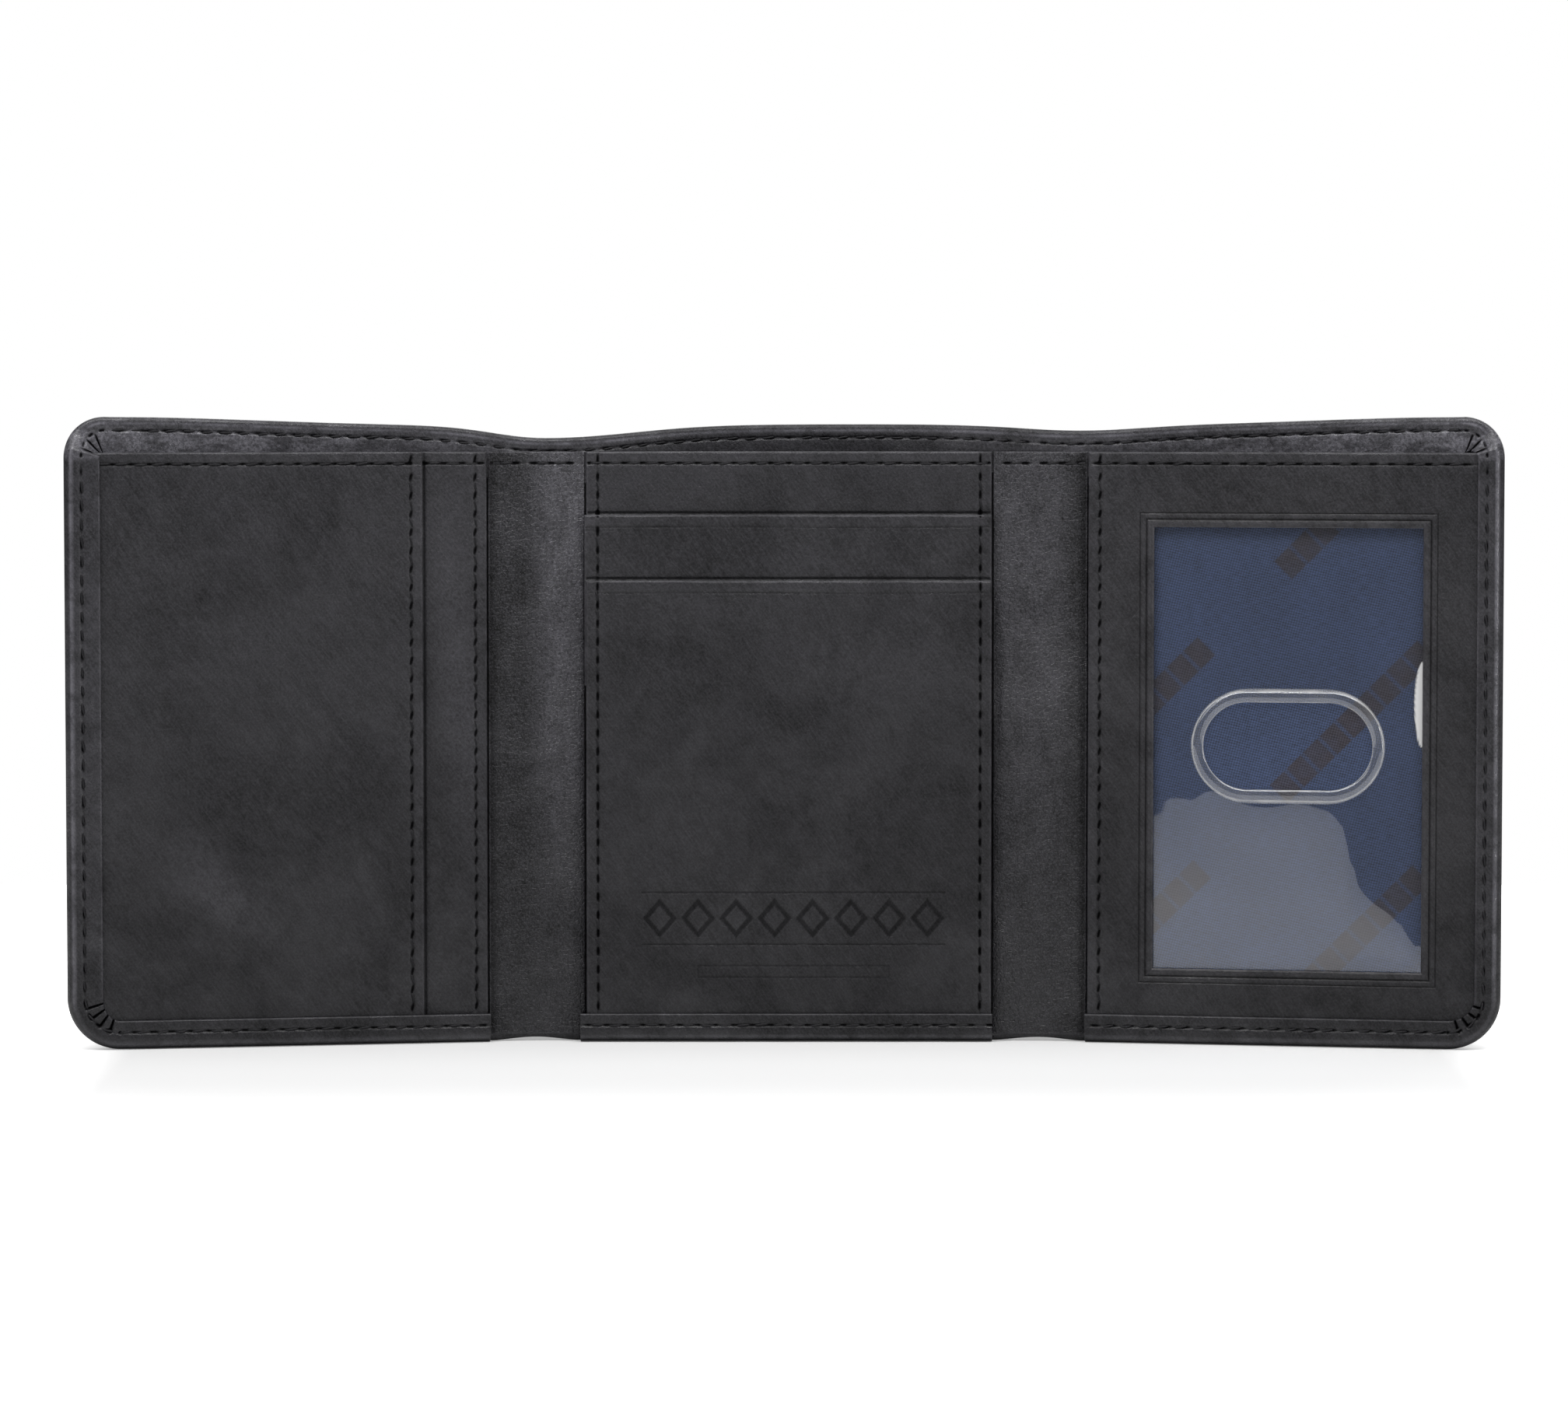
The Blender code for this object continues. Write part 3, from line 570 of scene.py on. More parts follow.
def fold_sheen_and_wear(n):
    """Painted sheen, with some wear, in the fold strips' upper half: the left one beside the centre, the
    right one all over.
    """
    u = n.across()
    left = n.times(n.span(u, -46.5, -40.0), n.span(u, -30.0, -20.0, 1.0, 0.0))
    right = n.times(n.span(u, 30.0, 38.5), n.span(u, 45.5, 50.0, 0.55, 0.0))
    upper = n.span(n.height(), 8.0, 70.0, 0.15, 1.0)
    patchy = n.span(n.noise(2.2, 5.0, 0.7, n.stretched((1.0, 1.0, 0.6))), 0.30, 0.66, 0.4, 1.0)
    return n.times(n.plus(left, right), upper, patchy, 1.55)


def patch(n, u, z, turn, length, width):
    """A soft oval, from 0 to 1, round one flat place, with its length turned down to the right."""
    local = n.add("ShaderNodeMapping", {"Vector": n.flat, "Location": (u / CM, 0, z / CM),
                                        "Rotation": (0, radians(turn), 0),
                                        "Scale": (length / CM, 1.0e3, width / CM)}, vector_type="TEXTURE")
    away = n.add("ShaderNodeVectorMath", {0: local.outputs[0]}, operation="LENGTH")
    return n.span(away.outputs["Value"], 0.0, 1.0, 1.0, 0.0)


# painted highlight patches, with some wear: u, z, turn, length, width and amount
HIGHLIGHT_AND_WEAR_PATCHES = ((-99.0, 27.0, 40.0, 17.0, 7.5, 1.0), (-93.0, 88.0, 35.0, 14.0, 8.0, 0.35),
                (-57.0, 60.0, 85.0, 55.0, 7.0, 1.0), (10.0, 66.0, 10.0, 24.0, 9.0, 0.25))


def panel_highlight_and_wear(n):
    """Paler polished places on the inner panels: painted highlights, with some wear."""
    return n.times(n.most(*(n.times(patch(n, *oval), amount) for *oval, amount in HIGHLIGHT_AND_WEAR_PATCHES)), 0.6)


def weave(n, pitch, turn=0.0):
    """Two sets of crossing yarns, from 0 to 1."""
    vector = n.stretched((1.0, 1.0, 1.0), turn)
    across, along = (n.math("SINE", n.times(n.axis(name, vector), 2 * pi * CM / pitch)) for name in "XZ")
    return n.math("MULTIPLY_ADD", n.times(across, along), 0.5, 0.5)


YARN_PITCH, YARN_TURN = 0.62, 30
PRINT_COLOUR = (0.034, 0.028, 0.036, 1)


def lining_material(name, base, tint, printed=False):
    """Woven nylon. printed adds a plain repeat of slanting bars of blocks."""
    n = Nodes(name)
    yarn = weave(n, YARN_PITCH, YARN_TURN)
    slub = n.noise(6.0, 3.0, 0.6, n.stretched((1.0, 1.0, 7.0)))
    soft = n.noise(0.8, 3.0, 0.5)
    shade = n.plus(n.span(yarn, 0.1, 0.9, 0.52, 1.50), n.span(slub, 0.3, 0.7, -0.26, 0.26),
                   n.span(soft, 0.3, 0.7, -0.08, 0.08))
    colour = grey(base, tint)
    if printed:
        colour = n.mix(n.times(bars(n), 0.92), colour, PRINT_COLOUR)
    normal = n.bump(soft, 0.25, n.bump(yarn, 0.03))
    return n.done(n.principled(Base_Color=n.shaded(colour, shade), Roughness=0.55, Normal=normal,
                               Sheen_Weight=0.15, Sheen_Roughness=0.4))


BAR_ROWS, BAR_ROW_AT = 26.8, -2.6
BAR_REPEAT, BAR_GAP_AT, BAR_STEP = 54.0, 109.0, 27.6
BAR_PRINT_LENGTH, BAR_PRINT_WIDTH = 36.0, 4.6
BAR_SOFT = 0.25
BLOCK_PITCH, BLOCK_GAP, BLOCK_SOFT = 4.0, 0.4, 0.25


def off_middle(n, repeats, pitch):
    """Distance from the middle of a repeat, for a place that is counted in repeats of one pitch."""
    return n.times(n.math("ABSOLUTE", n.math("SUBTRACT", n.math("FRACT", repeats), 0.5)), pitch)


def bars(n):
    """A repeat of plain printed bars at 45 degrees, each a row of blocks, stepped from row to row."""
    vector = n.stretched((CM, CM, CM), 45)
    rows = n.math("DIVIDE", n.math("SUBTRACT", n.axis("Z", vector), BAR_ROW_AT), BAR_ROWS)
    row = n.math("FLOOR", n.plus(rows, 0.5))
    from_row = n.times(n.math("ABSOLUTE", n.math("SUBTRACT", rows, row)), BAR_ROWS)
    along = n.math("SUBTRACT", n.math("SUBTRACT", n.axis("X", vector), BAR_GAP_AT), n.times(row, BAR_STEP))
    from_middle = off_middle(n, n.math("DIVIDE", along, BAR_REPEAT), BAR_REPEAT)
    blocks_along = n.math("DIVIDE", n.plus(from_middle, BLOCK_PITCH / 2), BLOCK_PITCH)
    from_block = off_middle(n, blocks_along, BLOCK_PITCH)
    wide = n.span(from_row, BAR_PRINT_WIDTH / 2 - BAR_SOFT, BAR_PRINT_WIDTH / 2, 1, 0)
    long = n.span(from_middle, BAR_PRINT_LENGTH / 2 - BAR_SOFT, BAR_PRINT_LENGTH / 2, 1, 0)
    worn = n.span(n.noise(3.0, 2.0, 0.5), 0.35, 0.6, 0.85, 1.0)
    block_end = (BLOCK_PITCH - BLOCK_GAP) / 2
    blocks = n.span(from_block, block_end - BLOCK_SOFT, block_end, 1.0, 0.35)
    return n.times(n.times(wide, long), n.times(worn, blocks))


BOTH_FACES = 2.7


def vinyl_material(name):
    """Clear glossy sheet that lets the lining show. Its front carries the reflection of all its layers.

    It swells a little in its lower outer part, and sags under the thumb hole.
    """
    n = Nodes(name)
    u, z = n.across(), n.height()
    lean = n.plus(n.span(u, WINDOW_LOW + 32.2, WINDOW_LOW + 33.8, 0.0, 0.009),
                  n.span(u, WINDOW_LOW + 33.2, WINDOW_HIGH + 1.5, 0.0, 0.027, "LINEAR"))
    under_hole = n.times(n.span(u, WINDOW_LOW + 6.0, WINDOW_LOW + 10.0),
                         n.span(u, WINDOW_LOW + 29.5, WINDOW_LOW + 33.0, 1.0, 0.0))
    sag = n.times(under_hole, n.span(z, 46.0, 34.0, 0.0, 0.045, "LINEAR"))
    swell = n.times(lean, n.most(n.math("SUBTRACT", 45.0, z), 0.0))
    waves = n.times(n.noise(0.55, 1.0, 0.4), 0.10)
    normal = n.bump(n.math("SUBTRACT", n.plus(swell, waves), sag), 1.0)
    fresnel = n.add("ShaderNodeFresnel", {"IOR": 1.5, "Normal": normal})
    to_light = n.add("ShaderNodeLightPath").outputs["Is Shadow Ray"]
    inside = n.add("ShaderNodeNewGeometry").outputs["Backfacing"]
    share = n.times(n.math("MULTIPLY", fresnel.outputs[0], BOTH_FACES, clamp=True),
                    n.math("SUBTRACT", 1.0, n.most(to_light, inside)))
    gloss = n.add("ShaderNodeBsdfGlossy", {"Color": (1, 1, 1, 1), "Roughness": 0.01, "Normal": normal})
    clear = n.add("ShaderNodeBsdfTransparent", {"Color": (0.975, 0.98, 0.985, 1)})
    mixed = n.add("ShaderNodeMixShader", {0: share, 1: clear.outputs[0], 2: gloss.outputs[0]})
    # milky white where the weld whitens the sheet, and a painted glint at its right edge
    milky = n.add("ShaderNodeBsdfDiffuse", {"Color": grey(0.80)})
    whitened_and_glint = n.times(n.attribute("pale_and_highlight"), 0.9)
    surface = n.add("ShaderNodeMixShader", {0: whitened_and_glint, 1: mixed.outputs[0], 2: milky.outputs[0]})
    return n.done(surface.outputs[0])


def thread_material(name):
    """Twisted black thread."""
    n = Nodes(name)
    twist = n.noise(30.0, 2.0, 0.5, n.stretched((1.0, 1.0, 0.4), 30))
    colour = n.mix(twist, grey(0.008, COOL), grey(0.026, COOL))
    return n.done(n.principled(Base_Color=colour, Roughness=0.5, Normal=n.bump(twist, 0.06),
                               Specular_IOR_Level=0.2))


LEATHER_MATERIAL = leather("burnished_leather", worn=panel_highlight_and_wear)
COVER_MATERIAL = leather("cover_leather", base=0.027, rough=0.42, grain=0.034, cloud=0.22,
                         worn=hem_sheen_and_wear, crackle=0.2)
FOLD_MATERIAL = leather("grained_fold_leather", base=0.0285, rough=0.42, grain=0.10, pull=0.14, cloud=0.2,
                        worn=fold_sheen_and_wear, crackle=0.45)
BLACK_LINING = lining_material("black_nylon_lining", 0.022, (1.0, 0.98, 1.0))
NAVY_LINING = lining_material("navy_nylon_lining", 0.056, (0.62, 0.95, 2.0), printed=True)
CLEAR_VINYL = vinyl_material("clear_vinyl")
THREAD = thread_material("black_thread")


# ---------------------------------------------------------------- joining pieces to the frame

def attach(piece, slot, *nodes, body=None, bend=None):
    """Ride the piece on one body, or else keep it where it lies, and let it stand for CAD nodes."""
    if body is not None:
        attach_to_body(piece, body)
    else:
        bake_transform(piece)
    if nodes:
        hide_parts(*nodes)
    return piece


def bend_round(first, second, crease, reach):
    """A bend between two bodies, over a short way on both sides of a crease."""
    return first, second, crease - reach, crease + reach


LEFT_OUTER_BEND = bend_round("left_wing", "left_spine", LEFT_WING_CREASE, 1.0)
LEFT_INNER_BEND = bend_round("left_spine", "centre", LEFT_SPINE_CREASE, 1.5)
RIGHT_INNER_BEND = bend_round("centre", "right_spine", RIGHT_SPINE_CREASE, 1.0)
RIGHT_OUTER_BEND = bend_round("right_spine", "right_wing", RIGHT_WING_CREASE, 1.0)


# ---------------------------------------------------------------- inner leather panels

HEM_SWELL, HEM_SWELL_WIDTH = 0.06, 0.7
PRESSED_BESIDE = 0.32


def top_hem(u, z):
    """The sewn top edge: a slightly thick turned edge over a furrow at the seam."""
    return groove(z - TOP_SEAM_Z, u) + ridge(z - INNER_TOP + 0.9, HEM_SWELL, HEM_SWELL_WIDTH)


def upright_hem(u, z, seam, edge):
    """A sewn upright edge."""
    return groove(u - seam, z, slant=0.3) + ridge(u - (seam + edge) / 2, HEM_SWELL, HEM_SWELL_WIDTH)


def slot_edge(z, slot, u):
    """A card slot's turned edge, with the heat-pressed line below it."""
    below = z - slot
    press = line(below + SLOT_PRESS + 0.06 * np.sin(u / 9), 0.15, 0.22) + line(below + 2.7, 0.06, 0.18)
    press = press + ridge(below + 1.55, 0.05, 0.25)
    return press * (0.75 + 0.25 * ripple(u, z, 17, 5)) + ridge(below + 0.9, 0.05, 0.6)


def pressed_beside(distance):
    """The line that a sheet's edge presses into the sheet behind it, darkened by the material as painted
    shadow beside the edge.
    """
    return line(distance - PRESSED_BESIDE, 0.20, 0.3)


def left_front_relief(u, z):
    return top_hem(u, z) + upright_hem(u, z, FRONT_HEM_U, FRONT_POCKET_EDGE)


FRONT_UNDULATION = undulation((0.12, 26, 11, 1), (0.03, 6, 12, 1))


def left_front_waves(u, z):
    """A soft slanting swelling low on the panel, over slight undulation."""
    along, across = (u + 100) * 0.8 + (z - 27) * 0.6, (z - 27) * 0.8 - (u + 100) * 0.6
    return 0.40 * np.exp(-(along / 7) ** 2 - (across / 13) ** 2) + FRONT_UNDULATION(u, z)


def left_rear_relief(u, z):
    return top_hem(u, z) + upright_hem(u, z, REAR_HEM_U, LEFT_INNER) + pressed_beside(u - FRONT_POCKET_EDGE)


def side_seams(u, z):
    return groove(np.minimum(np.abs(u + SIDE_SEAM_U), np.abs(u - SIDE_SEAM_U)), z)


def centre_back_relief(u, z):
    return top_hem(u, z) + side_seams(u, z) + pressed_beside(z - UPPER_SLOT)


def upper_pocket_relief(u, z):
    return slot_edge(z, UPPER_SLOT, u) + side_seams(u, z) + pressed_beside(z - LOWER_SLOT)


ORNAMENT_U, ORNAMENT_Z = 0.8, 21.5
ORNAMENT_HALF_LENGTH, ORNAMENT_HALF_HEIGHT = 26.4, 4.5
LOZENGES = 8
BAR_Z, BAR_HALF_LENGTH, BAR_HALF_HEIGHT = 12.3, 16.4, 1.0


def ornament(u, z):
    """A plain pressed band: a row of lozenges between two lines, and a short bar below."""
    du, dz = u - ORNAMENT_U, z - ORNAMENT_Z
    cell = 2 * ORNAMENT_HALF_LENGTH / LOZENGES
    in_cell = (du + ORNAMENT_HALF_LENGTH) % cell - cell / 2
    inside = ease((ORNAMENT_HALF_LENGTH - np.abs(du)) / 0.3)
    reach = np.abs(in_cell) / (cell / 2) + np.abs(dz) / (ORNAMENT_HALF_HEIGHT - 0.7)
    lozenge = ease((1.0 - reach) / 0.14) - ease((0.62 - reach) / 0.14)
    rule = ridge(np.abs(dz) - ORNAMENT_HALF_HEIGHT, 1, 0.2)
    outline = np.maximum(np.abs(du) - BAR_HALF_LENGTH, np.abs(z - BAR_Z) - BAR_HALF_HEIGHT)
    return -0.17 * (lozenge + rule) * inside - 0.14 * ease(1 - np.abs(outline) / 0.35)


def lower_pocket_relief(u, z):
    return slot_edge(z, LOWER_SLOT, u) + side_seams(u, z) + ornament(u, z)


def window_distance(u, z):
    """Distance out from the window's opening, negative inside it."""
    across = np.maximum(WINDOW_LOW - u, u - WINDOW_HIGH)
    return np.maximum(across, np.maximum(WINDOW_FOOT - z, z - WINDOW_HEAD))


def frame_relief(u, z):
    """A sewn hem, and two pressed lines with a bead beside each round the window."""
    d = window_distance(u, z)
    border = line(d - 1.35, 0.20, 0.16) + line(d - 2.45, 0.17, 0.15) + ridge(d - 0.65, 0.12, 0.4)
    border = border + ridge(d - 1.85, 0.06, 0.22)
    return top_hem(u, z) + upright_hem(u, z, FRAME_HEM_U, RIGHT_INNER) + border


FRONT_HEM_U, REAR_HEM_U = FRONT_POCKET_EDGE - HEM_SEAM, LEFT_INNER - HEM_SEAM
FRAME_HEM_U = RIGHT_INNER + HEM_SEAM
SIDE_SEAM_U = CENTRE_HALF - HEM_SEAM
COARSE_U, COARSE_Z = 0.8, 0.5
BORDER_REACH, BORDER_STEP = 3.0, 0.1
LEFT_LOW, RIGHT_HIGH = LEFT_OUTER + LAYER_INSET, RIGHT_OUTER - LAYER_INSET
FOOT_LEFT, FOOT_RIGHT = corner_foot(LEFT_LOW, 1), corner_foot(RIGHT_HIGH, -1)


def panel(node, body, us, zs, at, relief, waves, **shape):
    """One inner leather panel, named after the CAD node that it stands for."""
    piece = slab(node + "_leather", LEATHER_MATERIAL, stations(us[0], us[1], COARSE_U, *us[2:]),
                 stations(zs[0], zs[1], COARSE_Z, *zs[2:]), at, LEATHER, relief, waves, **shape)
    attach(piece, "pocket_leather", node, body=body)


UPRIGHT_SPAN = (LAYER_FOOT, INNER_TOP, (TOP_SEAM_Z,))
SIDE_MARKS = (-SIDE_SEAM_U, SIDE_SEAM_U)
panel("left_rear_pocket", "left_wing",
      (LEFT_LOW, LEFT_INNER, (REAR_HEM_U, FRONT_POCKET_EDGE + PRESSED_BESIDE)), UPRIGHT_SPAN,
      LEFT_REAR_AT, left_rear_relief, undulation((0.06, 18, 21, 1), (0.04, 5, 22, 3)), foot=FOOT_LEFT)
panel("left_front_pocket", "left_wing", (LEFT_LOW, FRONT_POCKET_EDGE, (FRONT_HEM_U,)), UPRIGHT_SPAN,
      LEFT_FRONT_AT, left_front_relief, left_front_waves, foot=FOOT_LEFT)
panel("centre_back_panel", "centre", (-CENTRE_HALF, CENTRE_HALF, SIDE_MARKS),
      (LAYER_FOOT, INNER_TOP, (TOP_SEAM_Z, UPPER_SLOT + PRESSED_BESIDE)),
      FIRST_AT, centre_back_relief, undulation((0.05, 24, 31, 1)))
panel("upper_card_pocket", "centre", (-CENTRE_HALF - 0.3, CENTRE_HALF, SIDE_MARKS),
      (UPPER_POCKET_FOOT, UPPER_SLOT, (UPPER_SLOT - SLOT_PRESS, LOWER_SLOT + PRESSED_BESIDE)),
      UPPER_POCKET_AT, upper_pocket_relief, undulation((0.06, 22, 32, 1)))
panel("lower_card_pocket", "centre",
      (-CENTRE_HALF, CENTRE_HALF, SIDE_MARKS,
       ((ORNAMENT_U - ORNAMENT_HALF_LENGTH - 0.6, ORNAMENT_U + ORNAMENT_HALF_LENGTH + 0.6, 0.3),)),
      (LAYER_FOOT, LOWER_SLOT, (LOWER_SLOT - SLOT_PRESS,),
       ((BAR_Z - BAR_HALF_HEIGHT - 0.7, ORNAMENT_Z + ORNAMENT_HALF_HEIGHT + 0.8, 0.22),)),
      LOWER_POCKET_AT, lower_pocket_relief, undulation((0.11, 28, 33, 1), (0.03, 6, 34, 1)))
panel("window_frame", "right_wing",
      (RIGHT_INNER, RIGHT_HIGH, (FRAME_HEM_U,), ((WINDOW_LOW - BORDER_REACH, WINDOW_LOW, BORDER_STEP),
                                                 (WINDOW_HIGH, WINDOW_HIGH + BORDER_REACH, BORDER_STEP))),
      (*UPRIGHT_SPAN, ((WINDOW_FOOT - BORDER_REACH, WINDOW_FOOT, BORDER_STEP),
                       (WINDOW_HEAD, WINDOW_HEAD + BORDER_REACH, BORDER_STEP))),
      FRAME_AT, frame_relief, undulation((0.06, 24, 41, 1), (0.02, 6, 42, 1)), foot=FOOT_RIGHT,
      opening=(WINDOW_LOW, WINDOW_HIGH, WINDOW_FOOT, WINDOW_HEAD))


# ---------------------------------------------------------------- fold strips

STRIP_GAP = 0.3


def strip_relief(u, z):
    """The strip dips beside the wing's hem, and a little beside the centre panel; the material darkens the
    dips as painted shadow.
    """
    wing_end = LEFT_INNER if u.min() < 0 else RIGHT_INNER
    dips = line(u - wing_end, 0.18, 1.9) + line(np.abs(u) - CENTRE_HALF, 0.15, 0.7)
    return groove(z - TOP_SEAM_Z, u) + dips


def strip_waves(split, seed):
    """Upright stretch wrinkles, which fade where the strip's halves meet and towards the bottom."""
    wrinkles = undulation((0.10, 3.4, seed, 9.0), (0.05, 1.6, seed + 1, 7.0))

    def waves(u, z):
        return wrinkles(u, z) * ease(np.abs(u - split) / 1.6) * (0.35 + 0.65 * ease((z - 20) / 50))

    return waves


def strip_sway(middle, reach, height):
    """The strip stands forward along its middle."""
    def sway(u, z):
        return height * bump((u - middle) / reach) * ease((z - 1) / 14)

    return sway


LEFT_SWAY, RIGHT_SWAY = strip_sway(-42.0, 9.0, 0.75), strip_sway(41.0, 9.0, 0.7)
STRIP_ENDS = {"left": (LEFT_INNER + STRIP_GAP, LEFT_SPLIT, -CENTRE_HALF - STRIP_GAP),
              "right": (CENTRE_HALF + STRIP_GAP, RIGHT_SPLIT, RIGHT_INNER - STRIP_GAP)}
STRIP_HALVES = (
    ("left", "outer", LEFT_SWAY, ("left_wing", "left_spine", LEFT_INNER + 0.3, LEFT_INNER + 4.6)),
    ("left", "inner", LEFT_SWAY, bend_round("left_spine", "centre", LEFT_SPINE_CREASE, 3.2)),
    ("right", "inner", RIGHT_SWAY, ("centre", "right_spine", CENTRE_HALF + 0.3, CENTRE_HALF + 4.2)),
    ("right", "outer", RIGHT_SWAY, ("right_spine", "right_wing", RIGHT_INNER - 4.2, RIGHT_INNER - 0.3)))
STRIP_SEEDS = {"left": 51, "right": 61}


def half_ends(side, half):
    """Where one half of a fold strip starts and ends. The halves meet between the fold's creases."""
    low, split, high = STRIP_ENDS[side]
    return (low, split) if (side == "left") == (half == "outer") else (split, high)


for side, half, sway, bend in STRIP_HALVES:
    split = STRIP_ENDS[side][1]
    us = stations(*half_ends(side, half), 0.22)
    us = us[(np.abs(us - split) < 1e-6) | (np.abs(us - split) > 0.2)]
    piece = slab("fold_strip_%s_%s" % (side, half), FOLD_MATERIAL, us,
                 stations(STRIP_FOOT, INNER_TOP, 0.6, (TOP_SEAM_Z,)), STRIP_AT, LEATHER, strip_relief,
                 strip_waves(split, STRIP_SEEDS[side]), sway, split=split, raised_wear_and_highlight=0.0)
    attach(piece, "fold_leather", "fold_strip_" + side, bend=bend)


# ---------------------------------------------------------------- linings

LINING_STEP = 2.0


def lining_sway(seed, amount):
    """The slight undulation of a sewn lining."""
    def sway(u, z):
        return amount * ripple(u, z, 30, seed)

    return sway


def plain_lining(node, body, across, up, at, foot=None, sway=None, slot="black_lining",
                 material=BLACK_LINING):
    """One lining, named after the CAD node that it stands for."""
    piece = slab(node + "_cloth", material, stations(*across, LINING_STEP), stations(*up, LINING_STEP), at,
                 LINING, sway=sway, foot=foot)
    attach(piece, slot, node, body=body)


def stands_back(u, z):
    """The cover lining follows the cover round the bill compartment."""
    return -bulge(u, z)


def lining_head(u):
    """How far the cover lining's top edge is from the inner layers' top: it follows the cover's hem."""
    return cover_top(u) - TOP_HEM - INNER_TOP


for side, body, across, foot in (("left", "left_wing", (LEFT_LOW, LEFT_INNER), FOOT_LEFT),
                                 ("centre", "centre", (-CENTRE_HALF, CENTRE_HALF), None),
                                 ("right", "right_wing", (RIGHT_INNER, RIGHT_HIGH), FOOT_RIGHT)):
    plain_lining("divider_lining_" + side, body, across, (LAYER_FOOT, INNER_TOP - 0.3), DIVIDER_AT,
                 foot, lining_sway(71, 0.04))
    lining_top = float(np.min(cover_top(np.linspace(across[0], across[1], 30)))) - TOP_HEM
    plain_lining("cover_lining_" + side, body, across, (LAYER_FOOT, lining_top), COVER_LINING_AT,
                 foot, stands_back)
plain_lining("upper_pocket_lining", "centre", (-CENTRE_HALF, CENTRE_HALF),
             (LAYER_FOOT, UPPER_POCKET_FOOT - 0.3), UPPER_POCKET_AT + LEATHER / 2)
plain_lining("id_backing_lining", "right_wing", (RIGHT_INNER, RIGHT_HIGH), (LAYER_FOOT, INNER_TOP - 0.2),
             FIRST_AT, FOOT_RIGHT, lining_sway(73, 0.05), "navy_lining", NAVY_LINING)

COVER_BENDS = (LEFT_OUTER_BEND, LEFT_INNER_BEND, RIGHT_INNER_BEND, RIGHT_OUTER_BEND)
for (side, half, *_), bend in zip(STRIP_HALVES, COVER_BENDS):
    low, high = half_ends(side, half)
    piece = slab("cover_lining_fold_%s_%s" % (side, half), BLACK_LINING, stations(low, high, 0.5),
                 stations(STRIP_FOOT, INNER_TOP, LINING_STEP), COVER_LINING_AT, LINING, head=lining_head,
                 split=STRIP_ENDS[side][1])
    attach(piece, "black_lining", "cover_lining_fold_" + side, bend=bend)


# ---------------------------------------------------------------- the cover

SECTION_EDGE, SECTION_ROLL = 5, 15
LIP_EDGE = 0.35
SEAM_REACH = 0.5
ROLL_SHARE = 0.4


def column(values, count):
    """One value, or one for each station, as a column."""
    return (np.asarray(values, float) * np.ones(count))[:, None]


def lip_section(depth, width, seam, end):
    """The cover's edge in section, as distances in from the outline and depths, for arrays of stations.

    It runs from the turned edge on the front, over the roll, to the back as far in as end.
    """
    depth, width, seam, end = (column(values, len(depth)) for values in (depth, width, seam, end))
    radius = ROLL_SHARE * depth
    angle = np.linspace(0, pi / 2, SECTION_EDGE)[None]
    turn = np.linspace(0, pi, SECTION_ROLL)[None, 1:]

    def through(*legs):
        """Evenly spaced distances along each leg, given as its ends and the number of steps."""
        shares = (np.linspace(0, 1, count + 1)[None, 1:] for _, _, count in legs)
        return np.concatenate([a + (b - a) * share for (a, b, _), share in zip(legs, shares)], 1)

    front = through((width - LIP_EDGE, seam + SEAM_REACH, 5), (seam + SEAM_REACH, seam - SEAM_REACH, 8),
                    (seam - SEAM_REACH, radius, 3))
    back = through((radius, seam - SEAM_REACH, 2), (seam - SEAM_REACH, seam + SEAM_REACH, 8),
                   (seam + SEAM_REACH, end, 4))
    distance = [width - LIP_EDGE * (1 - np.cos(angle)), front, radius * (1 - np.sin(turn)), back]
    w = [depth - LIP_EDGE * (1 - np.sin(angle)), depth + 0 * front, depth / 2 * (1 + np.cos(turn)), 0 * back]
    return np.concatenate(distance, 1), np.concatenate(w, 1)


def on_front(w, depth):
    """1 on a lip's front face, falling to 0 at its back."""
    return ease((w / depth - 0.55) / 0.3)


def lip_surface(distance, w, depth, seam, along, sewn=1.0):
    """Furrows on the front and back of a sewn lip, and the slight swelling outside the seam."""
    depth, seam, along, sewn = (column(values, len(depth)) for values in (depth, seam, along, sewn))
    cut = groove(distance - seam, along) * sewn
    swell = ridge(distance - seam * 0.62, 0.10, 0.8) * sewn
    # the second value is painted shade, which the material uses to darken the furrows
    return w + (cut + swell) * (2 * on_front(w, depth) - 1), np.clip(-0.75 * cut / SUNK_DEPTH, 0, 1)


def lip_wear_and_highlight(distance, w, depth, strength):
    """Where a lip is paler, by wear and painted highlight: its turned edge and the front of its roll.
    strength scales it at each station.
    """
    depth, strength = column(depth, len(depth)), column(strength, len(depth))
    edge = ridge(distance - distance[:, :1], 1.9, 0.3)
    roll = ridge(distance - 1.05, 4.6, 0.28)
    return np.maximum(edge, roll) * strength * ease(w / depth / 0.4)


LIP_ENDS = (LEFT_INNER + 0.3, -CENTRE_HALF - 1.1, CENTRE_HALF + 0.2, RIGHT_INNER - 0.4)


def depth_below(u):
    """The rolled edge's thickness along the bottom. It changes where a panel's lip ends at a fold."""
    depth = np.full(np.shape(u), FOLD_DEPTH)
    depth = np.where(u <= LIP_ENDS[0], LEFT_DEPTH, depth)
    depth = np.where((u >= LIP_ENDS[1]) & (u <= LIP_ENDS[2]), CENTRE_DEPTH, depth)
    return np.where(u >= LIP_ENDS[3], RIGHT_DEPTH, depth)


def scallop(u):
    """The cover's lower edge lifts a little where it spans a fold."""
    rise = np.zeros(np.shape(u))
    for low, high in (LIP_ENDS[:2], LIP_ENDS[2:]):
        rise = rise + 0.55 * np.sin(pi * np.clip((u - low) / (high - low), 0, 1)) ** 2
    return rise


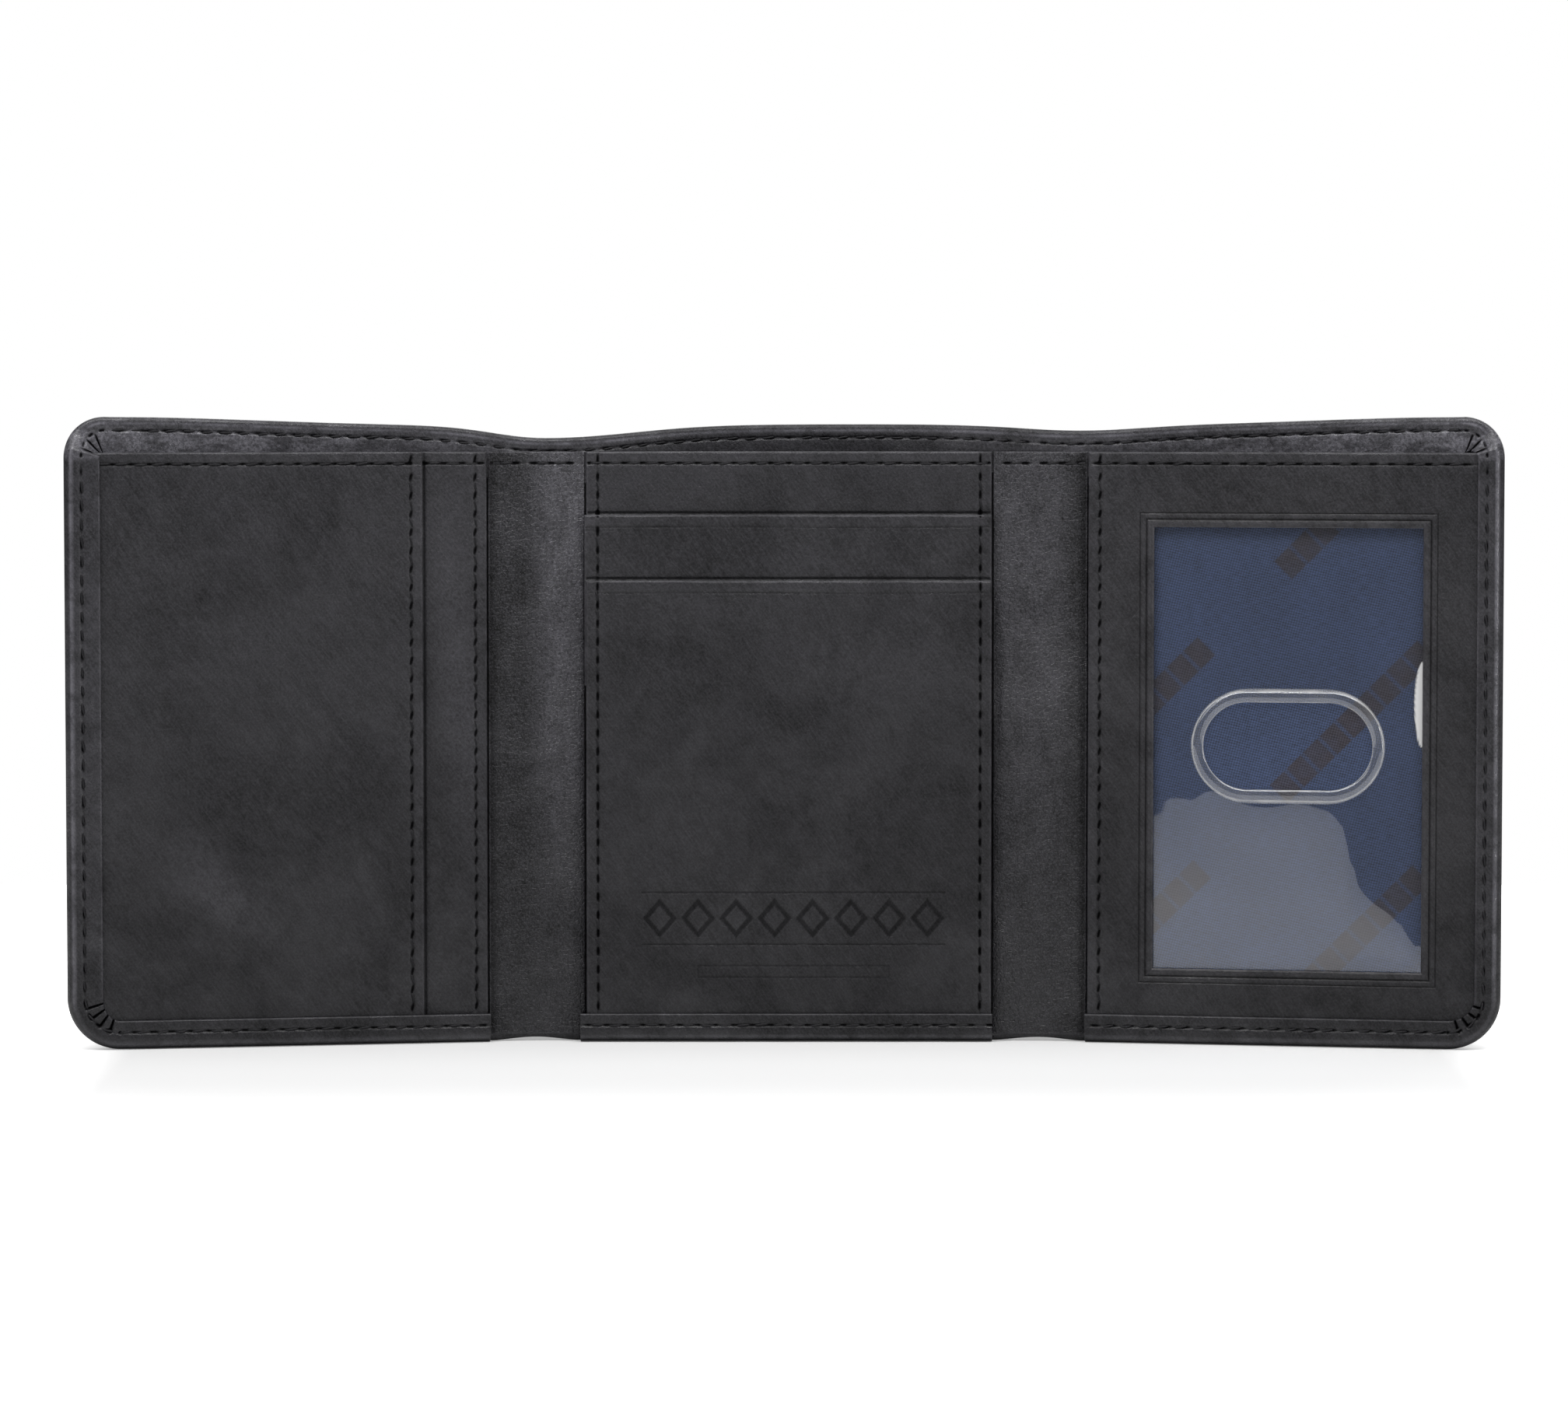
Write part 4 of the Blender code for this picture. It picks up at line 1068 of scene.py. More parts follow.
def finish_cover(U, W, Z):
    """Let the hand-turned lips wander a little, bulge the cover back, and give it slight undulation."""
    W = W + (0.05 * ripple(U, Z, 9, 81) + 0.02 * ripple(U, Z, 3, 82)) * ease((W - 0.3) / 0.5)
    loose = ease((Z - 8) / 20) * 0.12 * ripple(U, Z, 33, 83)
    return W - bulge(U, Z) + loose * ease(1 - W)


SIDE_ROWS = 118
# how pale the bottom, top and side lips are, by wear and painted highlight
BOTTOM_WEAR_AND_HIGHLIGHT, TOP_WEAR_AND_HIGHLIGHT, SIDE_WEAR_AND_HIGHLIGHT = 0.4, 0.6, 0.45


def straight_part(us):
    """Rows over every column: the bottom lip and roll, up the back, and the top roll and hem."""
    count = len(us)
    low_depth, top_depth = depth_below(us), np.full(count, TOP_DEPTH)
    low_d, low_w = lip_section(low_depth, BOTTOM_LIP, BOTTOM_SEAM, BOTTOM_CORNER)
    low_w, low_sunk = lip_surface(low_d, low_w, low_depth, BOTTOM_SEAM, us, low_depth > FOLD_DEPTH + 0.1)
    near_end = np.minimum(us - LEFT_OUTER, RIGHT_OUTER - us)
    hem = TOP_HEM_END + (TOP_HEM - TOP_HEM_END) * ease((near_end - TOP_CORNER) / 6)
    top_d, top_w = lip_section(top_depth, hem, COVER_SEAM, TOP_CORNER)
    top_w, top_sunk = lip_surface(top_d, top_w, top_depth, COVER_SEAM, us)
    top = cover_top(us)[:, None]
    low_z = low_d + scallop(us)[:, None] * (1 - low_d / (BOTTOM_CORNER + 0.01))
    fraction = np.linspace(0, 1, SIDE_ROWS)[None, 1:-1]
    middle_z = BOTTOM_CORNER + (top - TOP_CORNER - BOTTOM_CORNER) * fraction
    rows = ((low_z, middle_z, top - top_d),
            (low_w, 0 * middle_z, top_w),
            (low_sunk, 0 * middle_z, top_sunk),
            (lip_wear_and_highlight(low_d, low_w, low_depth, BOTTOM_WEAR_AND_HIGHLIGHT), 0 * middle_z,
             lip_wear_and_highlight(top_d, top_w, top_depth, TOP_WEAR_AND_HIGHLIGHT)))
    Z, W, painted_furrow_shade, pale_and_highlight = (np.concatenate([low, middle, high[:, ::-1]], 1) for low, middle, high in rows)
    return us[:, None] + 0 * Z, W, Z, painted_furrow_shade, pale_and_highlight


BOTTOM_ARC, TOP_ARC = 84, 64
PLEATS_BELOW, PLEATS_ABOVE = 5, 4
PLEAT_START, PLEAT_REACH = 2.1, 1.4
PLEAT_DEPTH, PLEAT_SLOPE = 0.42, 0.22


def pleat(angle, count, distance):
    """Folded pleats that fan out round a corner, deepest at the lip's inner edge."""
    phase = angle / (pi / 2) * count
    inner = ease((phase - 0.3) / 0.4) * ease((count - 0.3 - phase) / 0.4)
    crease = ridge(phase - np.round(phase), PLEAT_DEPTH, 0.13)
    slope = (phase % 1 - 0.5) * PLEAT_SLOPE
    return (slope - crease) * inner * ease((distance - PLEAT_START) / PLEAT_REACH)


def cap_part(outer, side, depth, lip):
    """The cover's outer end: stations round the bottom corner, up the side and round the top corner."""
    top = float(cover_top(outer + side * TOP_CORNER))
    low_turn, top_turn = np.linspace(0, pi / 2, BOTTOM_ARC), np.linspace(0, pi / 2, TOP_ARC)
    side_z = np.linspace(BOTTOM_CORNER, top - TOP_CORNER, SIDE_ROWS)[1:-1]
    none = 0 * side_z

    def round_end(below, beside, above):
        """Values round the bottom corner, up the side and round the top corner."""
        return np.concatenate([below + 0 * low_turn, beside + none, above + 0 * top_turn])

    def changing(below, beside, above):
        """One measure that eases from its value below to that beside, and on to that above."""
        return round_end(below + (beside - below) * ease(low_turn / (pi / 2)), beside,
                         beside + (above - beside) * ease(top_turn / (pi / 2)))

    a = round_end(BOTTOM_CORNER * (1 - np.sin(low_turn)), 0, TOP_CORNER * (1 - np.cos(top_turn)))
    z = round_end(BOTTOM_CORNER * (1 - np.cos(low_turn)), side_z,
                  top - TOP_CORNER + TOP_CORNER * np.sin(top_turn))
    inward_a = round_end(np.sin(low_turn), 1, np.cos(top_turn))
    inward_z = round_end(np.cos(low_turn), 0, -np.sin(top_turn))
    thick = depth + (TOP_DEPTH - depth) * ease((z - 102.4) / 4.2)
    seam = changing(BOTTOM_SEAM, SIDE_SEAM, COVER_SEAM)
    share = (side_z - BOTTOM_CORNER) / (top - TOP_CORNER - BOTTOM_CORNER)
    end = round_end(BOTTOM_CORNER, BOTTOM_CORNER + (TOP_CORNER - BOTTOM_CORNER) * share, TOP_CORNER)
    along = np.concatenate([[0], np.cumsum(np.hypot(np.diff(a), np.diff(z)))])
    d, w = lip_section(thick, changing(BOTTOM_LIP, lip, TOP_HEM_END), seam, end)
    upright = (ease((z - 10) / 12) * ease((top - 6 - z) / 6))[:, None]
    strength = BOTTOM_WEAR_AND_HIGHLIGHT + (1 - BOTTOM_WEAR_AND_HIGHLIGHT) * ease((z - 3) / 9)
    pale_and_highlight = np.maximum(lip_wear_and_highlight(d, w, thick, strength), SIDE_WEAR_AND_HIGHLIGHT * upright * on_front(w, thick[:, None]))
    w, painted_furrow_shade = lip_surface(d, w, thick, seam, along)
    front = on_front(w, thick[:, None])
    folds = np.zeros_like(w)
    folds[:BOTTOM_ARC] = pleat(low_turn[:, None], PLEATS_BELOW, d[:BOTTOM_ARC])
    folds[-TOP_ARC:] = pleat(top_turn[:, None], PLEATS_ABOVE, d[-TOP_ARC:])
    # painted shade in the pleats' creases, on the lip's front
    painted_furrow_shade = np.maximum(painted_furrow_shade, np.clip(-folds / SUNK_DEPTH, 0, 1) * front)
    U = outer + side * (a[:, None] + d * inward_a[:, None])
    return U, w + folds * front, z[:, None] + d * inward_z[:, None], painted_furrow_shade, pale_and_highlight


COVER_SKIN = 0.45
COVER_SHARP, COVER_WELD = 48, 0.004
CAP_FADE = 9.0


def cover_piece(name, us, cap=None):
    """One stretch of the cover, as a shell with its thickness inwards. cap holds cap_part's arguments."""
    parts = [straight_part(us)]
    if cap is not None:
        U, *rest = parts[0]
        outer, side = cap[:2]
        lip_rows = (U.shape[1] - (SIDE_ROWS - 2)) // 2
        narrower = (BOTTOM_CORNER - TOP_CORNER) * np.concatenate(
            [np.zeros(lip_rows), np.linspace(0, 1, SIDE_ROWS)[1:-1], np.ones(lip_rows)])
        fade = 1 - ease((np.abs(us - outer) - BOTTOM_CORNER) / CAP_FADE)
        parts = [(U - side * narrower * fade[:, None], *rest), cap_part(*cap)]
    flat, painted_furrow_shade, pale_and_highlight, faces, start = [], [], [], [], 0
    for (U, W, Z, part_sunk, part_pale_and_highlight), flip in zip(parts, (True, cap is not None and cap[1] < 0)):
        flat.append(points(U, finish_cover(U, W, Z), Z))
        painted_furrow_shade.append(part_sunk.ravel())
        pale_and_highlight.append(part_pale_and_highlight.ravel())
        faces.append(grid_faces(start + np.arange(U.size).reshape(U.shape), flip=flip))
        start += U.size
    piece = make_piece(name, np.concatenate(flat), np.concatenate(faces).tolist(), COVER_MATERIAL,
                       COVER_SHARP, COVER_WELD, np.concatenate(painted_furrow_shade), np.concatenate(pale_and_highlight))
    face_out(piece)
    shell = piece.modifiers.new("leather", "SOLIDIFY")
    shell.thickness = COVER_SKIN * MM
    shell.offset = -1
    shell.use_even_offset = False
    bpy.context.view_layer.update()
    solid = bpy.data.meshes.new_from_object(piece.evaluated_get(bpy.context.evaluated_depsgraph_get()))
    piece.modifiers.clear()
    piece.data = solid
    solid.set_sharp_from_angle(angle=radians(COVER_SHARP))
    return piece


def face_out(piece):
    """Turn the faces so that the back plate looks away from the wallet."""
    best = max(piece.data.polygons, key=lambda p: abs(p.normal.y) * p.area)
    if best.normal.y < 0:
        reshape(piece.data, lambda bm: bmesh.ops.reverse_faces(bm, faces=bm.faces[:]))


CREASE_REACH, CREASE_STEP = 1.8, 0.2
LIP_END_GAP, LIP_END_CLEAR = 0.015, 0.12


def cover_columns(low, high):
    """Columns along the cover: close together at its creases, and doubled where a lip ends."""
    places = set(np.round(np.linspace(low, high, int((high - low) / 0.75) + 2), 4))
    for crease in (LEFT_WING_CREASE, LEFT_SPINE_CREASE, RIGHT_SPINE_CREASE, RIGHT_WING_CREASE):
        close = np.round(np.arange(crease - CREASE_REACH, crease + CREASE_REACH + 0.01, CREASE_STEP), 4)
        places = {p for p in places if abs(p - crease) > CREASE_REACH + 0.15}
        places |= {p for p in close if low < p < high}
    for lip_end in LIP_ENDS:
        places = {p for p in places if abs(p - lip_end) > LIP_END_CLEAR}
        pair = (lip_end - LIP_END_GAP, lip_end + LIP_END_GAP)
        places |= {round(p, 4) for p in pair if low < p < high}
    return np.array(sorted(places | {low, high}))


for name, low, high, cap, bend, nodes in (
        ("left_wing", LEFT_OUTER + BOTTOM_CORNER, LEFT_SPLIT, (LEFT_OUTER, 1, LEFT_DEPTH, LEFT_LIP),
         LEFT_OUTER_BEND, ("cover_left", "cover_spine_left")),
        ("centre_left", LEFT_SPLIT, 0.0, None, LEFT_INNER_BEND, ("cover_centre", "cover_spine_left")),
        ("centre_right", 0.0, RIGHT_SPLIT, None, RIGHT_INNER_BEND, ("cover_centre", "cover_spine_right")),
        ("right_wing", RIGHT_SPLIT, RIGHT_OUTER - BOTTOM_CORNER, (RIGHT_OUTER, -1, RIGHT_DEPTH, RIGHT_LIP),
         RIGHT_OUTER_BEND, ("cover_right", "cover_spine_right"))):
    shell = cover_piece("cover_shell_" + name, cover_columns(low, high), cap)
    attach(shell, "cover_leather", *nodes, bend=bend)


# ---------------------------------------------------------------- the ID window's vinyl

def ray_to_stadium(angle, length, height):
    """Distance from the middle of a stadium to its edge along each angle."""
    radius, straight = height / 2, (length - height) / 2
    c, s = np.cos(angle), np.sin(angle)
    flat_hit = radius / np.maximum(np.abs(s), 1e-9)
    round_hit = straight * np.abs(c) + np.sqrt(np.maximum(radius ** 2 - (straight * s) ** 2, 0))
    return np.where(flat_hit * np.abs(c) <= straight, flat_hit, round_hit)


def ray_to_box(angle, left, right, down, up):
    """Distance from a point inside a rectangle to its edge along each angle."""
    c, s = np.cos(angle), np.sin(angle)
    across = np.where(c > 0, right, left) / np.maximum(np.abs(c), 1e-9)
    upward = np.where(s > 0, up, down) / np.maximum(np.abs(s), 1e-9)
    return np.minimum(across, upward)


def window_swell(u, z):
    """The clear sheet bows a little within its frame, more at its lower outer corner."""
    free = ease(-window_distance(u, z) / 3.0)
    corner = 0.30 * np.exp(-((u - WINDOW_HIGH + 6) / 10) ** 2 - ((z - WINDOW_FOOT - 8) / 14) ** 2)
    return free * (corner + 0.05 * ripple(u, z, 34, 91))


GLINT_Z, GLINT_HALF_HEIGHT, GLINT_WIDTH = 59.0, 7.4, 1.45
SPOKES, BEAD_RINGS, SHEET_RINGS = 480, 13, 72


def make_window():
    """The clear sheet, in rings from the thumb hole's edge over its welded bead out to the frame."""
    middle_u, middle_z = (WINDOW_LOW + WINDOW_HIGH) / 2, THUMB_Z
    left, right = middle_u - RIGHT_INNER - 0.2, RIGHT_HIGH - middle_u
    down, up = middle_z - LAYER_FOOT - 0.2, INNER_TOP - 0.2 - middle_z
    corners = [np.arctan2(y, x) % (2 * pi) for x in (right, -left) for y in (up, -down)]
    angle = np.unique(np.concatenate([np.linspace(0, 2 * pi, SPOKES, endpoint=False), corners]))
    hole = ray_to_stadium(angle, THUMB_LENGTH, THUMB_HEIGHT)
    bead = ray_to_stadium(angle, THUMB_LENGTH + 2 * THUMB_BEAD, THUMB_HEIGHT + 2 * THUMB_BEAD)
    rim = ray_to_box(angle, left, right, down, up)
    dome, spread = np.linspace(0, pi, BEAD_RINGS)[:, None], np.linspace(0, 1, SHEET_RINGS)[1:, None]
    R = np.concatenate([hole + (bead - hole) * (1 - np.cos(dome)) / 2, bead + (rim - bead) * spread])
    rise = np.concatenate([BEAD_RISE * np.sin(dome), 0 * spread])
    U, Z = middle_u + R * np.cos(angle), middle_z + R * np.sin(angle)
    swell = window_swell(U, Z)
    front = VINYL_AT + VINYL + swell + rise
    back = VINYL_AT + swell
    front[0] = back[0] = back[0] + VINYL / 2
    front[-1] = back[-1] = VINYL_AT + VINYL / 2
    index = np.arange(R.size).reshape(R.shape)
    behind = index + R.size
    behind[0], behind[-1] = index[0], index[-1]
    index, behind = (np.concatenate([numbers, numbers[:, :1]], 1) for numbers in (index, behind))
    used, faces = used_points([grid_faces(index), grid_faces(behind, flip=True)])
    from_weld = np.minimum(np.abs(R - hole), np.abs(R - bead))
    weld_lines = ridge(from_weld, 0.5, 0.14) * (0.8 + 0.2 * ripple(U, Z, 5, 92))
    across_weld = ease((bead - R) / 0.2) * (0.045 + 0.02 * ripple(U, Z, 7, 93))
    # painted glint: a milky white crescent at the sheet's right edge stands in for a reflection of light
    from_glint = np.clip(1 - ((Z - GLINT_Z) / GLINT_HALF_HEIGHT) ** 2, 0, 1)
    glint = ease((U - WINDOW_HIGH + GLINT_WIDTH * np.sqrt(from_glint)) / 0.25) * (from_glint > 0)
    whitened_and_glint = np.tile(np.maximum(np.maximum(weld_lines, across_weld), glint).ravel(), 2)
    flat = np.concatenate([points(U, front, Z), points(U, back, Z)])
    piece = make_piece("id_window_vinyl", flat[used], faces, CLEAR_VINYL, sharp=60, pale_and_highlight=whitened_and_glint[used])
    attach(piece, "clear_vinyl", "id_window", body="right_wing")


make_window()


# ---------------------------------------------------------------- stitching

THREAD_RADIUS, THREAD_FLATNESS = 0.18, 0.8
RING_ALONG = (-0.5, -0.42, -0.25, 0.0, 0.25, 0.42, 0.5)
RING_RISE = (-0.34, -0.08, 0.07, 0.10, 0.07, -0.08, -0.34)
RING_SIZE = (0.6, 0.9, 1.0, 1.0, 1.0, 0.9, 0.6)
RING_SIDES = 8


def tube_faces(rings, start):
    """Faces of one closed tube whose ring points are numbered from start."""
    index = start + np.arange(rings * RING_SIDES).reshape(rings, RING_SIDES)
    a, b = index[:-1], np.roll(index[:-1], -1, 1)
    sides = np.stack([a, b, b + RING_SIDES, a + RING_SIDES], -1).reshape(-1, 4)
    return sides.tolist() + [index[0, ::-1].tolist(), index[-1].tolist()]


def stitches(route, facing=1, length=2.35, slant=0.1, seed=1, phase=None):
    """Thread loops along a route of flat points, each dipping into the leather at both ends.

    phase is the route's first coordinate along a straight seam, so that its stitches lie between its holes.
    """
    travelled = np.concatenate([[0], np.cumsum(np.linalg.norm(np.diff(route, axis=0), axis=1))])
    total = travelled[-1]
    if phase is None:
        count = max(1, int((total - 0.6) / PITCH))
        centres = (total - count * PITCH) / 2 + PITCH * (np.arange(count) + 0.5)
    else:
        centres = np.arange((0.5 * PITCH - phase) % PITCH, total, PITCH)
        centres = centres[(centres > 0.35 * PITCH) & (centres < total - 0.35 * PITCH)]

    def at(s):
        return np.array([np.interp(s, travelled, route[:, k]) for k in range(3)])

    rng = np.random.default_rng(seed)
    around = np.linspace(0, 2 * pi, RING_SIDES, endpoint=False)[:, None]
    outward = np.array([0.0, facing, 0.0])
    rings, faces = [], []
    for centre in centres:
        lean = slant + rng.normal(0, 0.05)
        reach = length * rng.uniform(0.9, 1.08)
        lift = rng.normal(0, 0.02)
        aside = rng.normal(0, 0.06)
        faces += tube_faces(len(RING_ALONG), len(rings) * RING_SIDES)
        for along, rise, size in zip(RING_ALONG, RING_RISE, RING_SIZE):
            s = np.clip(centre + along * reach, 0, total)
            tangent = at(np.clip(s + 0.2, 0, total)) - at(np.clip(s - 0.2, 0, total))
            sideways = np.cross(tangent, outward)
            sideways /= np.linalg.norm(sideways)
            middle = at(s) + outward * (rise + lift) + sideways * (lean * along * reach + aside)
            ring = np.cos(around) * sideways + THREAD_FLATNESS * np.sin(around) * outward
            rings.append(middle + THREAD_RADIUS * size * ring)
    return np.concatenate(rings), faces


def seam(name, routes, nodes, body=None, bend=None, **look):
    """One seam's stitches as a single piece. Each route is its flat points and the way that they face."""
    flat, faces, start = [], [], 0
    for i, (route, facing) in enumerate(routes):
        reach = np.ptp(route, axis=0)
        phase = route[0][0] if reach[2] < 0.01 else route[0][2] if reach[0] < 0.01 else None
        loops, quads = stitches(route, facing, seed=len(name) * 7 + i, phase=phase, **look)
        flat.append(loops)
        faces += [[v + start for v in face] for face in quads]
        start += len(loops)
    piece = make_piece(name, np.concatenate(flat), faces, THREAD, sharp=60)
    reshape(piece.data, face_outward)
    attach(piece, "thread", *nodes, body=body, bend=bend)


def straight(u0, w, z0, u1, z1, step=1.0):
    """Flat points from one place to another at one depth."""
    count = max(2, int(np.hypot(u1 - u0, z1 - z0) / step) + 1)
    return points(np.linspace(u0, u1, count), np.full(count, w), np.linspace(z0, z1, count))


SINK = 0.12
PERIMETER_TOP = 98.5
SEAM_FOOT, SEAM_HEAD = 5.6, TOP_SEAM_Z - 0.8


def perimeter(outer, side, inner, depth, back=False):
    """Down the side lip, round the corner and along the bottom lip."""
    down = straight(outer + side * SIDE_SEAM, 0, PERIMETER_TOP, outer + side * SIDE_SEAM, BOTTOM_CORNER)
    turn = np.linspace(0, pi / 2, 16)[1:-1]
    corner_u = outer + side * (BOTTOM_CORNER - (BOTTOM_CORNER - SIDE_SEAM) * np.cos(turn))
    corner_z = BOTTOM_CORNER - (BOTTOM_CORNER - BOTTOM_SEAM) * np.sin(turn)
    bottom = straight(outer + side * BOTTOM_CORNER, 0, BOTTOM_SEAM, inner, BOTTOM_SEAM)
    route = np.concatenate([down, points(corner_u, 0 * turn, corner_z), bottom])
    route[:, 1] = -bulge(route[:, 0], route[:, 2]) if back else depth
    return route


def hem_route(low, high, back=False):
    """Along the cover's sewn top hem."""
    us = np.arange(low, high + 0.01, 1.0)
    zs = cover_top(us) - COVER_SEAM
    return points(us, -bulge(us, zs) + (0 if back else TOP_DEPTH - SINK), zs)


def level(w, low, high):
    """Along the inner layers' top hem."""
    return straight(low, w, TOP_SEAM_Z, high, TOP_SEAM_Z)


def upright(u, w, low=SEAM_FOOT, high=SEAM_HEAD):
    """Up one place across."""
    return straight(u, w, low, u, high)


def beside_centre(u):
    """Up the centre panel's side seam, which steps back at each slot."""
    return (upright(u, LOWER_FACE, high=LOWER_SLOT - 0.4),
            upright(u, UPPER_FACE, LOWER_SLOT + 0.4, UPPER_SLOT - 0.4),
            upright(u, BAND_FACE, UPPER_SLOT + 0.4))


LEFT_FACE, REAR_FACE, UPPER_FACE, LOWER_FACE, BAND_FACE, FRAME_FACE, STRIP_FACE = (
    at + LEATHER - SINK for at in (LEFT_FRONT_AT, LEFT_REAR_AT, UPPER_POCKET_AT, LOWER_POCKET_AT, FIRST_AT,
                                   FRAME_AT, STRIP_AT))
UPRIGHT = {"slant": 0.26, "length": 1.9}

for side, outer, way, inner, depth in (("left", LEFT_OUTER, 1, LEFT_INNER - 0.6, LEFT_DEPTH),
                                       ("right", RIGHT_OUTER, -1, RIGHT_INNER + 0.6, RIGHT_DEPTH)):
    seam("thread_%s_perimeter_stitches" % side,
         [(perimeter(outer, way, inner, depth - SINK), 1), (perimeter(outer, way, inner, depth, True), -1)],
         ("thread_%s_perimeter" % side,), body=side + "_wing", slant=0.16)
seam("thread_centre_bottom_stitches",
     [(straight(-CENTRE_HALF - 0.5, w, BOTTOM_SEAM, CENTRE_HALF, BOTTOM_SEAM), facing)
      for w, facing in ((CENTRE_DEPTH - SINK, 1), (0.0, -1))],
     ("thread_centre_bottom",), body="centre")
for node, body, routes, look in (
        ("left_front_top", "left_wing", [level(LEFT_FACE, LEFT_OUTER + 5.2, FRONT_POCKET_EDGE - 0.6)], {}),
        ("left_rear_top", "left_wing", [level(REAR_FACE, FRONT_POCKET_EDGE + 0.5, LEFT_INNER - 0.4)], {}),
        ("front_pocket_hem", "left_wing", [upright(FRONT_HEM_U, LEFT_FACE)], UPRIGHT),
        ("rear_pocket_hem", "left_wing", [upright(REAR_HEM_U, REAR_FACE)], UPRIGHT),
        ("centre_top", "centre", [level(BAND_FACE, -CENTRE_HALF + 0.4, CENTRE_HALF - 0.4)], {}),
        ("centre_left", "centre", beside_centre(-SIDE_SEAM_U), UPRIGHT),
        ("centre_right", "centre", beside_centre(SIDE_SEAM_U), UPRIGHT),
        ("right_top", "right_wing", [level(FRAME_FACE, RIGHT_INNER + 0.4, RIGHT_OUTER - 4.2)], {}),
        ("frame_hem", "right_wing", [upright(FRAME_HEM_U, FRAME_FACE)], UPRIGHT)):
    seam("thread_%s_stitches" % node, [(route, 1) for route in routes], ("thread_" + node,), body, **look)

for side, half, sway, bend in STRIP_HALVES:
    low, high = half_ends(side, half)
    low, high = low + (low != STRIP_ENDS[side][1]) * 0.2, high - (high != STRIP_ENDS[side][1]) * 0.2
    route = straight(low, STRIP_FACE, TOP_SEAM_Z, high, TOP_SEAM_Z, 0.5)
    route[:, 1] += sway(route[:, 0], route[:, 2])
    seam("thread_strip_top_%s_%s_stitches" % (side, half), [(route, 1)], (), bend=bend)

for name, low, high, bend, node in (
        ("left", LEFT_OUTER + 6.0, LEFT_SPLIT, LEFT_OUTER_BEND, "thread_cover_top_left"),
        ("centre_left", LEFT_SPLIT, 0.0, LEFT_INNER_BEND, "thread_cover_top_centre"),
        ("centre_right", 0.0, RIGHT_SPLIT, RIGHT_INNER_BEND, "thread_cover_top_centre"),
        ("right", RIGHT_SPLIT, RIGHT_OUTER - 6.0, RIGHT_OUTER_BEND, "thread_cover_top_right")):
    seam("thread_cover_top_%s_stitches" % name, [(hem_route(low, high), 1), (hem_route(low, high, True), -1)],
         (node,), bend=bend)


# ---------------------------------------------------------------- floor, light and camera

FLOOR_FRONT, FLOOR_BACK, FLOOR_HALF = -0.50, 0.30, 0.62
GLOW_BESIDE = 0.110


def make_floor():
    """A pale floor, in metres, that glows a little to the camera away from the wallet."""
    n = Nodes("floor")
    seen = n.add("ShaderNodeLightPath").outputs["Is Camera Ray"]
    spot = n.add("ShaderNodeNewGeometry").outputs["Position"]
    beyond = n.most(n.math("SUBTRACT", n.math("ABSOLUTE", n.axis("X", spot)), GLOW_BESIDE), 0.0)
    away = n.math("SQRT", n.plus(n.math("POWER", n.times(beyond, 6.0), 2.0),
                                 n.math("POWER", n.axis("Y", spot), 2.0)))
    # painted light: the glow seen by the camera rises away from the wallet and beside it, where it washes out
    # the wallet's shadows
    glow = n.plus(n.span(away, 0.05, 0.13, 0.11, 0.42), n.span(beyond, 0.0, 0.012, 0.0, 0.45))
    shader = n.principled(Base_Color=grey(0.84), Roughness=0.9, Specular_IOR_Level=0.1,
                          Emission_Color=(1, 1, 1, 1), Emission_Strength=n.times(seen, glow))
    mesh = bpy.data.meshes.new("floor")
    corners = ((-1, FLOOR_FRONT), (1, FLOOR_FRONT), (1, FLOOR_BACK), (-1, FLOOR_BACK))
    mesh.from_pydata([(way * FLOOR_HALF, y, 0) for way, y in corners], [], [[0, 1, 2, 3]])
    mesh.materials.append(n.done(shader))
    floor = bpy.data.objects.new("floor", mesh)
    bpy.context.collection.objects.link(floor)


make_floor()


